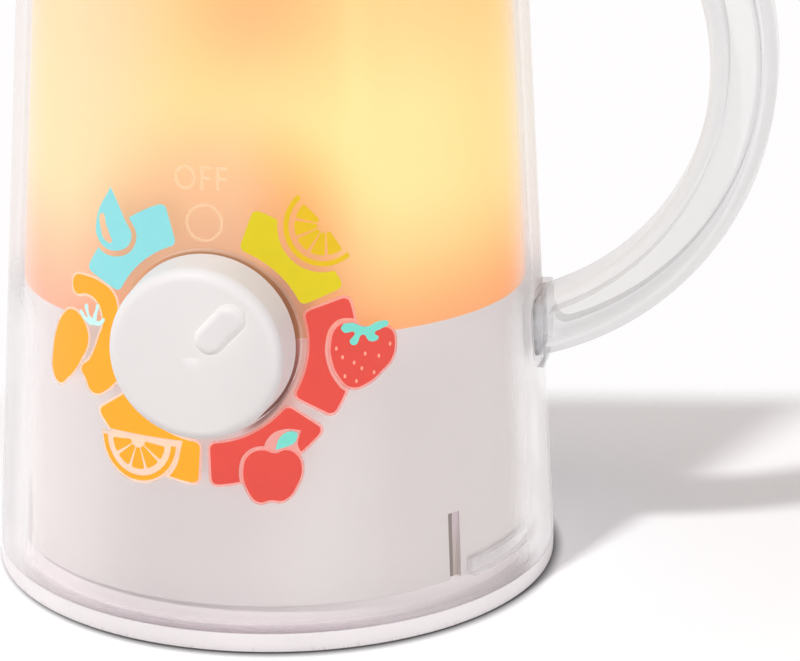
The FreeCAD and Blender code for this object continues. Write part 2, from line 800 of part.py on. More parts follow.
def arch(grow, w0, w1):
    """The arched outline of the dial housing, in the dial's frame, between two depths."""
    half = shade_half_w + grow
    low = shade_bottom_z - knob_z - grow
    shoulder = shade_top_z - knob_z - shade_half_w
    return fused(block(-half, half, low, shoulder, w0, w1), rod(half, w0, w1, 0, shoulder))


def dial_housing():
    outside = facing_front(arch(0, shade_back_y, base_r))
    outside = outside.common(tapered(0, jug_top_z, shade_inset))
    inside = facing_front(arch(-shade_wall, shade_back_y, base_r))
    inside = inside.common(tapered(0, jug_top_z, shade_inset + shade_wall))
    shell = outside.cut(inside)
    bush = facing_front(rod(bush_r, wheel_front + hub_gap, bush_end))
    mid_wall = shade_face - shade_wall / 2
    leaf_posts = [rod(leaf_post_r, wheel_back, mid_wall, s * leaf_post_x, leaf_up) for s in (-1, 1)]
    bosses = [rod(plate_boss_r, shade_back_y, mid_wall - plate_boss_gap, x, v) for x, v in plate_screws]
    room = tapered(0, jug_top_z, shade_inset + shade_wall / 2)
    inner = [facing_front(p).common(room) for p in leaf_posts + bosses]
    ear_room = tapered(0, jug_top_z, lip_inset + lip_t + slip)
    ears = []
    for s in (-1, 1):
        x0, x1 = sorted((s * (shade_half_w - ear_lap), s * (ear_x + ear_edge)))
        ear = block(x0, x1, -ear_y - ear_front, -shade_back_y, deck_top_z, deck_top_z + ear_t)
        ears.append(ear.common(ear_room))
    body = fused(shell, bush, *inner, *ears)
    cuts = [facing_front(rod(shaft_r + fit, 0, base_r))]
    for x, v in plate_screws:
        cuts.append(facing_front(rod(small_screw_r + fit, shade_back_y, shade_back_y + plate_bite, x, v)))
    for s in (-1, 1):
        cuts.append(rod(small_screw_r + fit, 0, jug_top_z, s * ear_x, -ear_y))
    return body.cut(cuts[0].multiFuse(cuts[1:]))


def dial_back_plate():
    plate = facing_front(arch(0, switch_front, shade_back_y))
    plate = plate.cut(facing_front(rod(shaft_r + plate_play, 0, base_r)))
    for x, v in plate_screws:
        plate = plate.cut(facing_front(rod(small_screw_r + fit, 0, base_r, x, v)))
    return plate


def dial_screws():
    """Three screws for the back plate and two that hold the housing's ears to the deck."""
    short = screw(small_screw_r, small_head_r, small_head_h, back_plate_t + plate_bite - tip_room)
    pieces = [facing_front(placed(short, x, v, switch_front)) for x, v in plate_screws]
    ear = screw(small_screw_r, small_head_r, small_head_h, ear_t + deck_t + deck_boss_h - 2 * tip_room)
    for s in (-1, 1):
        pieces.append(placed(ear, s * ear_x, -ear_y, deck_top_z + ear_t, flip=True))
    return pieces


def detent_wheel():
    disc = rod(wheel_r, wheel_back, wheel_front)
    for place in place_angles:
        x, v = around(wheel_r + notch_r - notch_depth, 90 + place - place_angles[pip_place])
        disc = disc.cut(rod(notch_r, wheel_back, wheel_front, x, v))
    return facing_front(disc.cut(flat_shaft(0, base_r)))


def detent_spring():
    """A leaf on two posts; its nose rides just clear of the wheel's crests."""
    middle = (wheel_front + wheel_back) / 2
    w0 = middle - leaf_w / 2
    w1 = middle + leaf_w / 2
    strip = block(-leaf_post_x, leaf_post_x, leaf_up - leaf_t / 2, leaf_up + leaf_t / 2, w0, w1)
    nose_r = leaf_out - nose_gap
    nose = rod(nose_r, w0, w1, 0, leaf_up).cut(block(-nose_r, nose_r, leaf_up, leaf_up + nose_r, w0, w1))
    eyes = [rod(leaf_post_r + fit + leaf_t, w0, w1, s * leaf_post_x, leaf_up) for s in (-1, 1)]
    holes = [rod(leaf_post_r + fit, w0, w1, s * leaf_post_x, leaf_up) for s in (-1, 1)]
    return facing_front(fused(strip, nose, *eyes).cut(holes[0].fuse(holes[1])))


def dial_shaft():
    """Round in its bush, with a flat for the knob in front and for the wheel behind."""
    front = flat_shaft(bush_end, knob_bore_end - tip_gap)
    middle = rod(shaft_r, wheel_front, bush_end)
    back = flat_shaft(switch_back + shaft_tail, wheel_front)
    return facing_front(fused(front, middle, back))


def shaft_clip():
    ring = tube(clip_r, shaft_r, clip_front - clip_t, clip_front)
    return facing_front(ring.cut(block(-clip_slit / 2, clip_slit / 2, -clip_r, 0, 0, base_r)))


def rotary_switch():
    half = switch_w / 2
    case = block(-half, half, -half, half, switch_back, switch_front)
    case = rounded_edges(case, switch_corner, UP)
    up = half - tag_edge
    tags = []
    for i in range(tag_count):
        tag = block(-tag_w / 2, tag_w / 2, up - tag_t / 2, up + tag_t / 2, switch_back - tag_len, switch_back)
        tag.rotate(ORIGIN, UP, 360.0 * i / tag_count)
        tags.append(tag)
    case = fused(case, *tags)
    return facing_front(case.cut(rod(shaft_r + fit, switch_back + switch_cap, switch_front)))


def knob():
    front = knob_face - knob_dome
    diag = knob_edge * soft_part
    flat_r = knob_face_r - knob_edge
    dome_r = (flat_r ** 2 + knob_dome ** 2) / (2 * knob_dome)
    half_turn = math.asin(flat_r / dome_r) / 2
    dome_mid = (dome_r * math.sin(half_turn), knob_face - dome_r * (1 - math.cos(half_turn)))
    body = turned_curve(
        (0, knob_back), (knob_r, knob_back), (knob_face_r, front - knob_edge),
        ((knob_face_r - diag, front - diag), (flat_r, front)),
        (dome_mid, (0, knob_face)),
    )
    slope = (knob_r - knob_face_r) / (knob_face - knob_back)
    deep = front - knob_wall - knob_back
    hollow = turned([
        (0, knob_back), (knob_r - knob_wall, knob_back),
        (knob_r - knob_wall - slope * deep, knob_back + deep), (0, knob_back + deep),
    ])
    mid_cap = front - knob_wall / 2
    hub = rod(hub_r, knob_back + hub_back, mid_cap)
    ribs = []
    for i in range(rib_count):
        reach = knob_r - knob_wall + rib_lap
        rib = block(shaft_r, reach, -rib_t / 2, rib_t / 2, knob_back + deep - rib_h, mid_cap)
        rib.rotate(ORIGIN, UP, 360.0 * (i + 0.5) / rib_count)
        ribs.append(rib.common(body))
    half = pip_w / 2
    straight = pip_len / 2 - half
    top = knob_face + pip_h - knob_dome
    pip = fused(
        block(-half, half, -straight, straight, mid_cap, top),
        rod(half, mid_cap, top, 0, straight),
        rod(half, mid_cap, top, 0, -straight),
    )
    crest = [e for e in pip.Edges if e.BoundBox.ZMin > top - 0.001]
    pip = pip.makeFillet(pip_edge, crest)
    pip.translate(Vec(0, pip_offset, 0))
    pip.rotate(ORIGIN, UP, -place_angles[pip_place])
    made = fused(body.cut(hollow), hub, pip, *ribs)
    made = made.cut(flat_shaft(0, knob_bore_end))
    return facing_front(made)


# ---- clear shell and handle ----

def handle_meets():
    """The two heights at which the handle's middle line crosses the shell's outer face."""
    reach = base_r + ring_h * lean - handle_x
    a = 1 + lean ** 2
    b = -2 * (lean * reach + handle_z)
    c = reach ** 2 + handle_z ** 2 - handle_r ** 2
    root = math.sqrt(b * b - 4 * a * c)
    return (-b - root) / (2 * a), (-b + root) / (2 * a)


def handle_slope(z):
    """Rise per millimetre outwards of the handle's middle line where it meets the shell."""
    return (wall_r(z) - handle_x) / math.sqrt(handle_r ** 2 - (wall_r(z) - handle_x) ** 2)


def collar_bar(z_mid, grow, corner, x0, x1, slope):
    """A rounded bar through the shell's side, as large as the handle's end and a clearance."""
    half_y = handle_w / 2 + grow
    tall = handle_t / 2 * math.sqrt(1 + slope ** 2) + slope * collar_proud + grow
    bar = block(x0, x1, -half_y, half_y, z_mid - tall, z_mid + tall)
    return rounded_edges(bar, corner, Vec(1, 0, 0))


def clear_shell():
    wall = tapered(ring_h + shell_lift, jug_top_z, 0, shell_wall)
    wall = wall.makeFillet(shell_edge, edges_at(wall, jug_top_z))
    for z in handle_meets():
        slope = handle_slope(z)
        face = wall_r(z) + collar_proud
        inner_corner = handle_edge + collar_clear
        collar = collar_bar(z, collar_clear + collar_lip, collar_corner, handle_x, face, slope)
        collar = collar.cut(collar_bar(z, collar_clear, inner_corner, handle_x, base_r + handle_r, slope))
        collar = collar.cut(tapered(0, jug_top_z + handle_r, shell_wall / 2))
        wall = fused(wall, collar)
    span = 180 - 2 * bar_start_deg
    for start in (bar_start_deg - 90, bar_start_deg + 90):
        wall = fused(wall, tapered(bar_z, bar_z + bar_h, shell_wall / 2, shell_wall + bar_t, span, start))
    return wall.cut(front_hole(knob_hole_r))


def handle_section(r0, r1, y0, y1, corner):
    """A rounded rectangle in the handle's cross plane, at angle 0 of its arc."""
    bar = block(handle_x + r0, handle_x + r1, y0, y1, handle_z, handle_z + 1)
    if corner:
        bar = rounded_edges(bar, corner, UP)
    bottom = [f for f in bar.Faces if abs(f.BoundBox.ZMax - handle_z) < 0.001]
    return bottom[0]


def handle_arc(face, low_deg, high_deg, out=0.0):
    """A section carried along the handle's arc; angles rise from level towards the top."""
    centre = Vec(handle_x + out, 0, handle_z)
    start = face.copy()
    start.rotate(centre, FRONT, low_deg)
    return start.revolve(centre, FRONT, high_deg - low_deg)


def handle_bar(r0, r1, y0, y1, corner, low_deg, high_deg):
    """A bar along the arc: its inner face follows the handle's own centre, its outer face the taper's."""
    inner_bar = handle_section(r0, r1 + handle_t / 2, y0, y1, corner)
    outer_bar = handle_section(r0 - handle_t / 2, r1, y0, y1, corner)
    longer = handle_arc(outer_bar, low_deg - run_in_deg / 2, high_deg + run_in_deg / 2, handle_taper)
    return handle_arc(inner_bar, low_deg, high_deg).common(longer)


def handle():
    inner = handle_r - handle_t / 2
    outer = handle_r + handle_t / 2
    low_z, high_z = handle_meets()
    low = -math.degrees(math.acos((wall_r(low_z) - handle_x) / handle_r))
    high = math.degrees(math.acos((wall_r(high_z) - handle_x) / handle_r))
    half = handle_w / 2
    body = handle_bar(inner, outer, -half, half, handle_edge, low - run_in_deg, high + run_in_deg)
    body = body.cut(tapered(0, jug_top_z + handle_r, 0))
    depth = (handle_w - web_t) / 2
    for side in (-1, 1):
        y0, y1 = sorted((side * (half - depth), side * handle_w))
        ends = (low + pocket_end_deg, high - pocket_end_deg)
        pocket = handle_bar(inner + flange_t, outer - flange_t, y0, y1, 0, *ends)
        pocket = rounded_edges(pocket, pocket_corner, Vec(0, 1, 0))
        body = body.cut(pocket)
    return body


# ---- frosted wall, cup, paddle ----

def frosted_wall():
    wall = tapered(split_z, frost_top_z, drum_inset, drum_inset + frost_wall)
    return wall.cut(front_hole(bush_r + slip))


def mixing_cup():
    floor_top = cup_floor_z + cup_floor_t
    flange_r = wall_r(frost_top_z, drum_inset) - slip
    diag = cup_soft * soft_part
    cup = turned_curve(
        (0, cup_floor_z), (cup_r - cup_soft, cup_floor_z),
        ((cup_r - diag, cup_floor_z + diag), (cup_r, cup_floor_z + cup_soft)),
        (cup_r, frost_top_z), (flange_r, frost_top_z), (flange_r, jug_top_z), (cup_in_r, jug_top_z),
        (cup_in_r, floor_top + cup_soft),
        ((cup_in_r - diag, floor_top + diag), (cup_in_r - cup_soft, floor_top)),
        (0, floor_top),
    )
    step = rod(spindle_r + step_w, floor_top, floor_top + hub_gap)
    head_z = spindle_top_z - snap_chamfer_h
    spindle = rod(spindle_r, floor_top, head_z)
    head_r = spindle_r + snap_out
    head = turned([(0, head_z), (head_r, head_z), (spindle_r - snap_in, spindle_top_z), (0, spindle_top_z)])
    slit = block(-head_r, head_r, -snap_slit / 2, snap_slit / 2, spindle_top_z - snap_slit_h, spindle_top_z)
    return fused(cup, step, spindle, head).cut(slit)


def paddle():
    z0 = cup_floor_z + cup_floor_t + hub_gap + paddle_lift
    hub = rod(paddle_hub_r, z0, z0 + paddle_hub_h)
    hub = hub.makeFillet(paddle_hub_edge, edges_at(hub, z0 + paddle_hub_h))
    fins = []
    for i in range(fin_count):
        fin = block(0, paddle_reach, -paddle_t / 2, paddle_t / 2, -paddle_h / 2, paddle_h / 2)
        fin = rounded_edges(fin, fin_corner, Vec(0, 1, 0))
        fin.rotate(ORIGIN, Vec(1, 0, 0), paddle_pitch_deg)
        fin.translate(Vec(0, 0, z0 + paddle_h / 2 + fin_lift))
        fin.rotate(ORIGIN, UP, 360.0 * i / fin_count + fin_start_deg)
        fins.append(fin)
    return fused(hub, *fins).cut(rod(spindle_r + fit, 0, jug_top_z))


# ---- rim, lid, seal, filler cap ----

def rim_ring():
    low = jug_top_z - rim_skirt
    diag = rim_t * soft_part
    return turned_curve(
        (cup_in_r, jug_top_z), (wall_r(jug_top_z, -slip), jug_top_z), (wall_r(low, -slip), low),
        (wall_r(low, -slip - rim_wall), low), (rim_r, jug_top_z),
        ((rim_r - diag, rim_top_z - diag), (rim_r - rim_t, rim_top_z)),
        (cup_in_r, rim_top_z),
    )


def lid():
    flange_top = rim_top_z + lid_flange_t
    flange_in = lid_flange_r - lid_flange_edge
    foot_r = lid_plug_r + dome_foot
    full_r = (foot_r + neck_r) / 2 + dome_bulge
    full_z = lid_top_z - dome_drop
    plug_in = lid_plug_r - lid_wall
    low = jug_top_z - lid_plug_h
    body = turned_curve(
        (lid_plug_r, low), (lid_plug_r, rim_top_z), (flange_in, rim_top_z),
        ((lid_flange_r, rim_top_z + lid_flange_t / 2), (flange_in, flange_top)),
        (foot_r, flange_top),
        ((full_r, full_z), (neck_r, lid_top_z)),
        (neck_r, lid_top_z + filler_neck_h), (filler_hole_r, lid_top_z + filler_neck_h),
        (filler_hole_r, lid_top_z - lid_wall),
        ((full_r - dome_taper, full_z - lid_wall), (plug_in, flange_top - lid_wall)),
        (plug_in, low),
    )
    groove_r = seal_ring_r - seal_r - fit
    half = seal_r + fit
    groove = tube(lid_plug_r + lid_clear, groove_r, seal_groove_z - half, seal_groove_z + half)
    dips = []
    for i in range(scallop_count):
        x, y = around(lid_flange_r + scallop_out, 360.0 * (i + 0.5) / scallop_count)
        dips.append(rod(scallop_r, rim_top_z, flange_top, x, y))
    return body.cut(groove).cut(dips[0].multiFuse(dips[1:]))


def lid_seal():
    return Part.makeTorus(seal_ring_r, seal_r - fit, Vec(0, 0, seal_groove_z), UP)


def filler_cap():
    seat = lid_top_z + filler_neck_h
    flange_top = seat + cap_flange_t
    flange_in = cap_flange_r - cap_flange_edge
    plug_r = filler_hole_r - cap_clear
    top = flange_top + cap_grip_h
    roof = top - cap_wall
    grip_in = cap_grip_r - cap_wall
    diag = cap_soft * soft_part
    return turned_curve(
        (plug_r, seat - cap_plug_h), (plug_r, seat), (flange_in, seat),
        ((cap_flange_r, seat + cap_flange_t / 2), (flange_in, flange_top)),
        (cap_grip_r + cap_grip_foot, flange_top), (cap_grip_r, top - cap_soft),
        ((cap_grip_r - diag, top - diag), (cap_grip_r - cap_soft, top)),
        (0, top), (0, roof), (cap_grip_r - cap_soft, roof),
        (grip_in, seat), (plug_r - cap_wall, seat), (plug_r - cap_wall, seat - cap_plug_h),
    )


# ---- screws between the large pieces ----

def case_screws():
    """The four screws that come up through the pan into the drum's posts."""
    head_z = spigot_top_z - head_seat
    one = screw(screw_r, screw_head_r, screw_head_h, head_seat + bite - tip_room)
    return [placed(one, *around(post_circle_r, a), head_z) for a in post_angles]


def deck_screws():
    one = screw(small_screw_r, small_head_r, small_head_h, deck_t + bite - tip_room)
    return [placed(one, *around(deck_screw_circle_r, a), deck_top_z, flip=True) for a in post_angles]


# ---- wires ----

def wire(points, bend):
    """A round wire along straight runs joined by tangent arcs."""
    corners = [Vec(*p) for p in points]
    edges = []
    here = corners[0]
    for i in range(1, len(corners) - 1):
        before = (corners[i - 1] - corners[i]).normalize()
        after = (corners[i + 1] - corners[i]).normalize()
        half = before.getAngle(after) / 2
        setback = bend / math.tan(half)
        first = corners[i] + before * setback
        last = corners[i] + after * setback
        inward = (before + after).normalize()
        middle = corners[i] + inward * (bend / math.sin(half) - bend)
        edges.append(Part.LineSegment(here, first).toShape())
        edges.append(Part.Arc(first, middle, last).toShape())
        here = last
    edges.append(Part.LineSegment(here, corners[-1]).toShape())
    path = Part.Wire(edges)
    along = corners[1] - corners[0]
    ring = Part.Wire(Part.Circle(corners[0], along, wire_r).toShape())
    return path.makePipeShell([ring], True, True)


def wires():
    """Leads from the main board's plugs to the speaker, the light board and the dial's switch."""
    top = board_top_z + plug_h
    magnet_top = pan_top_z + speaker_h
    tag_z = knob_z - switch_w / 2 + tag_edge
    x0, x1, x2 = plug_x
    speaker_lead = wire([
        (x0, plug_y, top), (x0, plug_y, top + 8), (x0 + 6, speaker_y - 2, top + 8),
        (-3, speaker_y, top - 4), (-3, speaker_y, magnet_top),
    ], speaker_bend)
    switch_lead = wire([
        (x1, plug_y, top), (x1, plug_y, top + 9), (0, -6, tag_z - 6),
        (0, 6 - switch_back, tag_z), (0, tag_len - switch_back, tag_z),
    ], wire_bend)
    light_lead = wire([
        (x2, plug_y, top), (x2, plug_y, top + 9), (3, lead_y, top + 14), (3, lead_y, light_board_z + 0.8),
        (14, lead_y, light_top_z + 4), (14, lead_y, light_top_z),
    ], light_bend)
    return [speaker_lead, switch_lead, light_lead]


def main():
    os.makedirs("parts", exist_ok=True)
    save("base_pan", base_pan())
    save("battery_door", battery_door())
    save("battery_door_screw", battery_door_screw())
    save("battery_cells", *battery_cells())
    save("battery_contacts", *battery_contacts())
    save("speaker_frame", speaker_frame())
    save("speaker_cone", speaker_cone())
    save("drum_housing", drum_housing())
    save("deck", deck())
    save("light_board", light_board())
    save("leds", *leds())
    save("main_board", main_board())
    save("board_parts", *board_parts())
    save("dial_housing", dial_housing())
    save("dial_back_plate", dial_back_plate())
    save("dial_screws", *dial_screws())
    save("detent_wheel", detent_wheel())
    save("detent_spring", detent_spring())
    save("dial_shaft", dial_shaft())
    save("shaft_clip", shaft_clip())
    save("rotary_switch", rotary_switch())
    save("knob", knob())
    save("clear_shell", clear_shell())
    save("handle", handle())
    save("frosted_wall", frosted_wall())
    save("mixing_cup", mixing_cup())
    save("paddle", paddle())
    save("rim_ring", rim_ring())
    save("lid", lid())
    save("lid_seal", lid_seal())
    save("filler_cap", filler_cap())
    save("case_screws", *case_screws())
    save("deck_screws", *deck_screws())
    save("wires", *wires())


main()
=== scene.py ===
# %% [markdown]
# # A toy blender, from its construction model to its finished looks
# The toy is a clear, tapered jug over a white drum. A frosted wall above the drum glows from lamps inside,
# and a round dial turns through seven printed places. The solids come from a CAD model whose pieces already
# have the right shapes and places, so this lesson gives each piece the finish of its real material, adds the
# thin printed pictures that solids can't show well, and sets up a small white studio.

# %% Load the construction model
import json
import math

import bmesh
import bpy
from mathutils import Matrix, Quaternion, Vector


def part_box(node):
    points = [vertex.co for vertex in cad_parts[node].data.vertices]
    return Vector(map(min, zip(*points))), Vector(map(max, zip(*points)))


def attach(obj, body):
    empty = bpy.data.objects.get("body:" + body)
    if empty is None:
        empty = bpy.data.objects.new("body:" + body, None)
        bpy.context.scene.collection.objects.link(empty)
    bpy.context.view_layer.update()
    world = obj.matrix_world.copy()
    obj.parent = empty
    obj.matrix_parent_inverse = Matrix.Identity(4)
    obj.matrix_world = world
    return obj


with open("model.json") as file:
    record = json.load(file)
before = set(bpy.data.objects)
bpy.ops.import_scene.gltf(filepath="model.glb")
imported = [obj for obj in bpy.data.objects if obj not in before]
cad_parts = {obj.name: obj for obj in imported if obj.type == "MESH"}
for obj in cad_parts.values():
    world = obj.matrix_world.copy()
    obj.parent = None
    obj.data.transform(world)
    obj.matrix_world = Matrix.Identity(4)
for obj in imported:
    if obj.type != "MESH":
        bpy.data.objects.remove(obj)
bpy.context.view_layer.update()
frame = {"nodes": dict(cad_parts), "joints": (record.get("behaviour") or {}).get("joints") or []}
print("pieces of the construction model:", len(frame["nodes"]))

# %% [markdown]
# ## Measures
# Every tapered wall of the toy leans by the same four degrees, which lets a moulded part slip off its tool.
# One function for the radius of the clear shell at a height is therefore enough to place prints on it and to
# paint marks round it. Its radius and the dial's height are read from the solids, so a changed solid carries
# the looks with it. Blender counts in metres. Patterns are easier to follow in millimetres, so the sizes that
# they use are kept in those.

# %% Read the main sizes from the solids
MM = 0.001
LEAN = math.tan(math.radians(4.0))
RING_TOP = 4.0
DRUM_FOOT = 8.0
DIAL_EDGE = 16.5
base_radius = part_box("base_pan")[1].x
jug_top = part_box("clear_shell")[1].z
base_edge = base_radius / MM
cone_foot = base_edge + RING_TOP * LEAN
dial_joint = next(j for j in frame["joints"] if j["name"] == "dial_turn")
dial_height = dial_joint["pos_m"][2]
dial_up = dial_height / MM


def shell_radius(height):
    """Outer radius of the clear shell at a height, both in metres."""
    return base_radius - (height - RING_TOP * MM) * LEAN


print("base radius", round(base_radius, 4), "dial height", dial_height, "jug top", round(jug_top, 4))

# %% [markdown]
# ## A short way to write shader maths
# A finish is a graph of nodes. Wiring each sum by hand hides the idea, so a small class wraps one output
# socket, and Python's own signs add the Math or Vector Math node. `1 - mask` then reads like the formula.
# Colours go through Vector Math, because a Math node would turn them grey.

# %% The socket class
class Flow:
    """One output of a shader graph, which takes part in sums."""

    def __init__(self, graph, socket):
        self.graph = graph
        self.socket = socket

    def sum(self, sign, first, second):
        """Adds a Math node, or a Vector Math node where a side is a colour or a vector."""
        many = any(
            isinstance(v, tuple) or (isinstance(v, Flow) and v.socket.type in ("VECTOR", "RGBA"))
            for v in (first, second)
        )
        kind = "ShaderNodeVectorMath" if many else "ShaderNodeMath"
        return self.graph.node(kind, {"operation": sign}, {0: first, 1: second})

    def __add__(self, other):
        return self.sum("ADD", self, other)

    def __sub__(self, other):
        return self.sum("SUBTRACT", self, other)

    def __rsub__(self, other):
        return self.sum("SUBTRACT", other, self)

    def __mul__(self, other):
        return self.sum("MULTIPLY", self, other)

    def __truediv__(self, other):
        return self.sum("DIVIDE", self, other)

    __radd__ = __add__
    __rmul__ = __mul__


# %% [markdown]
# Any other node comes from one method, which takes the node's type, its settings, and the values or links of
# its sockets. Most masks are soft steps, so they have short names: `rise` and `fall` go up and down between
# two values, `band` is 1 between them, and `bump_at` is a round hill.

# %% The graph class
class Graph:
    """A node tree that starts empty."""

    def __init__(self, tree):
        self.tree = tree
        tree.nodes.clear()

    def node(self, kind, settings=None, values=None, out=0):
        """Adds a node: its settings first, then the values or links of its sockets."""
        made = self.tree.nodes.new(kind)
        for name, value in (settings or {}).items():
            if name == "stops":
                ramp = made.color_ramp.elements
                while len(ramp) < len(value):
                    ramp.new(1.0)
                for stop, (position, colour) in zip(ramp, value):
                    stop.position = position
                    stop.color = (*colour, 1.0)
            else:
                setattr(made, name, value)
        for name, value in (values or {}).items():
            self.feed(made.inputs[name], value)
        return Flow(self, made.outputs[out]) if made.outputs else made

    def feed(self, socket, value):
        """Sets a socket to a number or a colour, or links it."""
        if isinstance(value, Flow):
            self.tree.links.new(value.socket, socket)
        elif socket.type == "RGBA":
            socket.default_value = (*value, 1.0) if isinstance(value, tuple) else (value, value, value, 1.0)
        elif socket.type == "VECTOR":
            socket.default_value = value if isinstance(value, tuple) else (value, value, value)
        else:
            socket.default_value = value

    def larger(self, first, second):
        return self.node("ShaderNodeMath", {"operation": "MAXIMUM"}, {0: first, 1: second})

    def rise(self, value, low, high):
        """0 below low, 1 above high, and a soft step between."""
        soft = {"interpolation_type": "SMOOTHSTEP"}
        return self.node("ShaderNodeMapRange", soft, {0: value, 1: low, 2: high})

    def fall(self, value, low, high):
        """1 below low, 0 above high, and a soft step between."""
        return 1 - self.rise(value, low, high)

    def band(self, value, low, high, soft):
        """1 between low and high; each edge is as wide as soft and lies inside them."""
        return self.rise(value, low, low + soft) * self.fall(value, high - soft, high)

    def bump_at(self, value, middle, width):
        """1 where value is at its middle, falling away softly over the width on both sides."""
        away = (value - middle) * (1.0 / width)
        return self.node("ShaderNodeMath", {"operation": "EXPONENT"}, {0: away * away * -1.0})

    def root(self, value):
        return self.node("ShaderNodeMath", {"operation": "SQRT"}, {0: value})

    def blend(self, share, first, second):
        """From the first colour to the second."""
        return self.node("ShaderNodeMix", {"data_type": "RGBA"}, {0: share, 6: first, 7: second}, out=2)

    def ramp(self, level, *stops):
        """Turns a level into a colour; each stop is a level and its colour."""
        return self.node("ShaderNodeValToRGB", {"stops": stops}, {0: level})

    def edge_on(self):
        """Grows from 0 to 1 as the surface is seen more nearly edge on."""
        return self.node("ShaderNodeLayerWeight", values={"Blend": 0.5}, out=1)


# %% [markdown]
# A finish is a graph with one Principled shader. Its patterns lie on Object coordinates, in millimetres,
# because every piece keeps its place in its mesh. How far a point is from the jug's axis, from the clear
# shell's face or from the dial comes back in many finishes, so each of these is a method.

# %% The finish class
class Finish(Graph):
    """A material with one Principled shader. Patterns are measured in millimetres on the piece."""

    def __init__(self, name, fixed):
        self.material = bpy.data.materials.new(name)
        self.material.use_nodes = True
        super().__init__(self.material.node_tree)
        self.shader = self.tree.nodes.new("ShaderNodeBsdfPrincipled")
        self.surface = self.tree.nodes.new("ShaderNodeOutputMaterial").inputs["Surface"]
        self.tree.links.new(self.shader.outputs[0], self.surface)
        for socket, value in fixed.items():
            self.shade(socket, value)
        place = self.node("ShaderNodeTexCoord", out=3)
        self.place = place * (1 / MM)
        parts = self.node("ShaderNodeSeparateXYZ", values={0: self.place})
        self.x, self.y, self.z = (Flow(self, s) for s in parts.socket.node.outputs)

    def shade(self, socket, value):
        self.feed(self.shader.inputs[socket], value)

    def noise(self, scale, detail=2.0, roughness=0.5, stretch=(1.0, 1.0, 1.0)):
        where = self.place * stretch
        return self.node(
            "ShaderNodeTexNoise", {"noise_dimensions": "3D"},
            {"Vector": where, "Scale": scale, "Detail": detail, "Roughness": roughness},
        )

    def cells(self, scale):
        """How far a point is from the middle of its cell."""
        return self.node("ShaderNodeTexVoronoi", {"feature": "F1"}, {"Vector": self.place, "Scale": scale})

    def turn(self):
        """Degrees round the jug from the dial, rising towards the handle."""
        angle = self.node("ShaderNodeMath", {"operation": "ARCTAN2"}, {0: self.x, 1: self.y * -1.0})
        return angle * (180 / math.pi)

    def front_half(self):
        """1 on the jug's front and sides, 0 at its back, so that nothing jumps where turn starts anew."""
        return self.fall(self.y, 22.0, 46.0)

    def from_axis(self, x=0.0, y=0.0):
        """Millimetres from an upright line, which is the jug's axis if no other is given."""
        flat = (self.place - (x, y, 0.0)) * (1.0, 1.0, 0.0)
        return self.node("ShaderNodeVectorMath", {"operation": "LENGTH"}, {0: flat}, out=1)

    def inside_shell(self):
        """Millimetres in from the clear shell's outer face; less than 0 outside it."""
        return cone_foot - self.z * LEAN - self.from_axis()

    def away(self, x, z):
        """Millimetres from a line that runs front to back."""
        side = self.x - x
        up = self.z - z
        return self.root(side * side + up * up)

    def from_dial(self, left=0.0, down=0.0):
        """Millimetres out from the dial's edge, or from that circle moved left and down."""
        return self.away(-left, dial_up - down) - DIAL_EDGE

    def relief(self, height, depth, strength=1.0):
        """Raises the surface by depth, in millimetres, where height is 1."""
        bump = self.node(
            "ShaderNodeBump", values={"Height": height, "Distance": depth * MM, "Strength": strength},
        )
        self.shade("Normal", bump)

    def dress(self, *pieces):
        """Puts this finish on pieces of the construction model, or on new ones."""
        for piece in pieces:
            target = frame["nodes"][piece] if isinstance(piece, str) else piece
            if target.material_slots:
                target.material_slots[0].material = self.material
            else:
                target.data.materials.append(self.material)
        print(self.material.name, "->", len(self.tree.nodes), "nodes on", len(pieces), "pieces")


# %% [markdown]
# Shaders work in linear light, but a maker reads colours from a chart that runs from 0 to 255. One function
# turns such a colour into linear light, and another makes it lighter or darker.

# %% Colours
def paint(red, green, blue):
    """A colour read from a paint chart, 0 to 255, as the linear light that shaders work in."""
    return tuple(((v / 255 + 0.055) / 1.055) ** 2.4 if v > 10 else v / 3294.6 for v in (red, green, blue))


def scaled(colour, factor):
    return tuple(v * factor for v in colour)


print("a middle grey, 128, is", round(paint(128, 128, 128)[0], 3), "of white's light")

# %% [markdown]
# ## The view and the studio
# The toy is seen from a little above and towards its handle's side, through a long lens, which keeps its
# upright edges nearly upright. The camera is aimed by the direction that it looks in, so that its tilt and
# its small roll stay two plain numbers.

# %% Camera
CAMERA_DOWN = 17.11
CAMERA_ROLL = 0.42
view = bpy.data.objects.new("studio camera", bpy.data.cameras.new("studio camera"))
bpy.context.scene.collection.objects.link(view)
view.data.lens = 99.8
view.data.sensor_width = 36.0
view.location = (0.1063, -0.4247, 0.1802)
down = math.radians(CAMERA_DOWN)
ahead = (-0.1864, 0.9825)
look = Vector((ahead[0] * math.cos(down), ahead[1] * math.cos(down), -math.sin(down)))
roll = Quaternion((0, 0, 1), math.radians(CAMERA_ROLL))
view.rotation_mode = "QUATERNION"
view.rotation_quaternion = look.to_track_quat("-Z", "Y") @ roll
bpy.context.scene.camera = view
bpy.context.scene.view_settings.view_transform = "Standard"
print("camera looks along", [round(v, 3) for v in look])

# %% [markdown]
# ### Soft light
# A white toy needs a white room that still shows where the toy ends. The world lights it softly from all
# round. The background is white for the camera, for gloss and through clear pieces by Light Path alone, so
# the toy gets no more light than its own colours need.

# %% Soft light from all round, white behind the toy
SOFT_LIGHT = 0.30
world = bpy.data.worlds.new("white studio")
bpy.context.scene.world = world
world.use_nodes = True
room = Graph(world.node_tree)


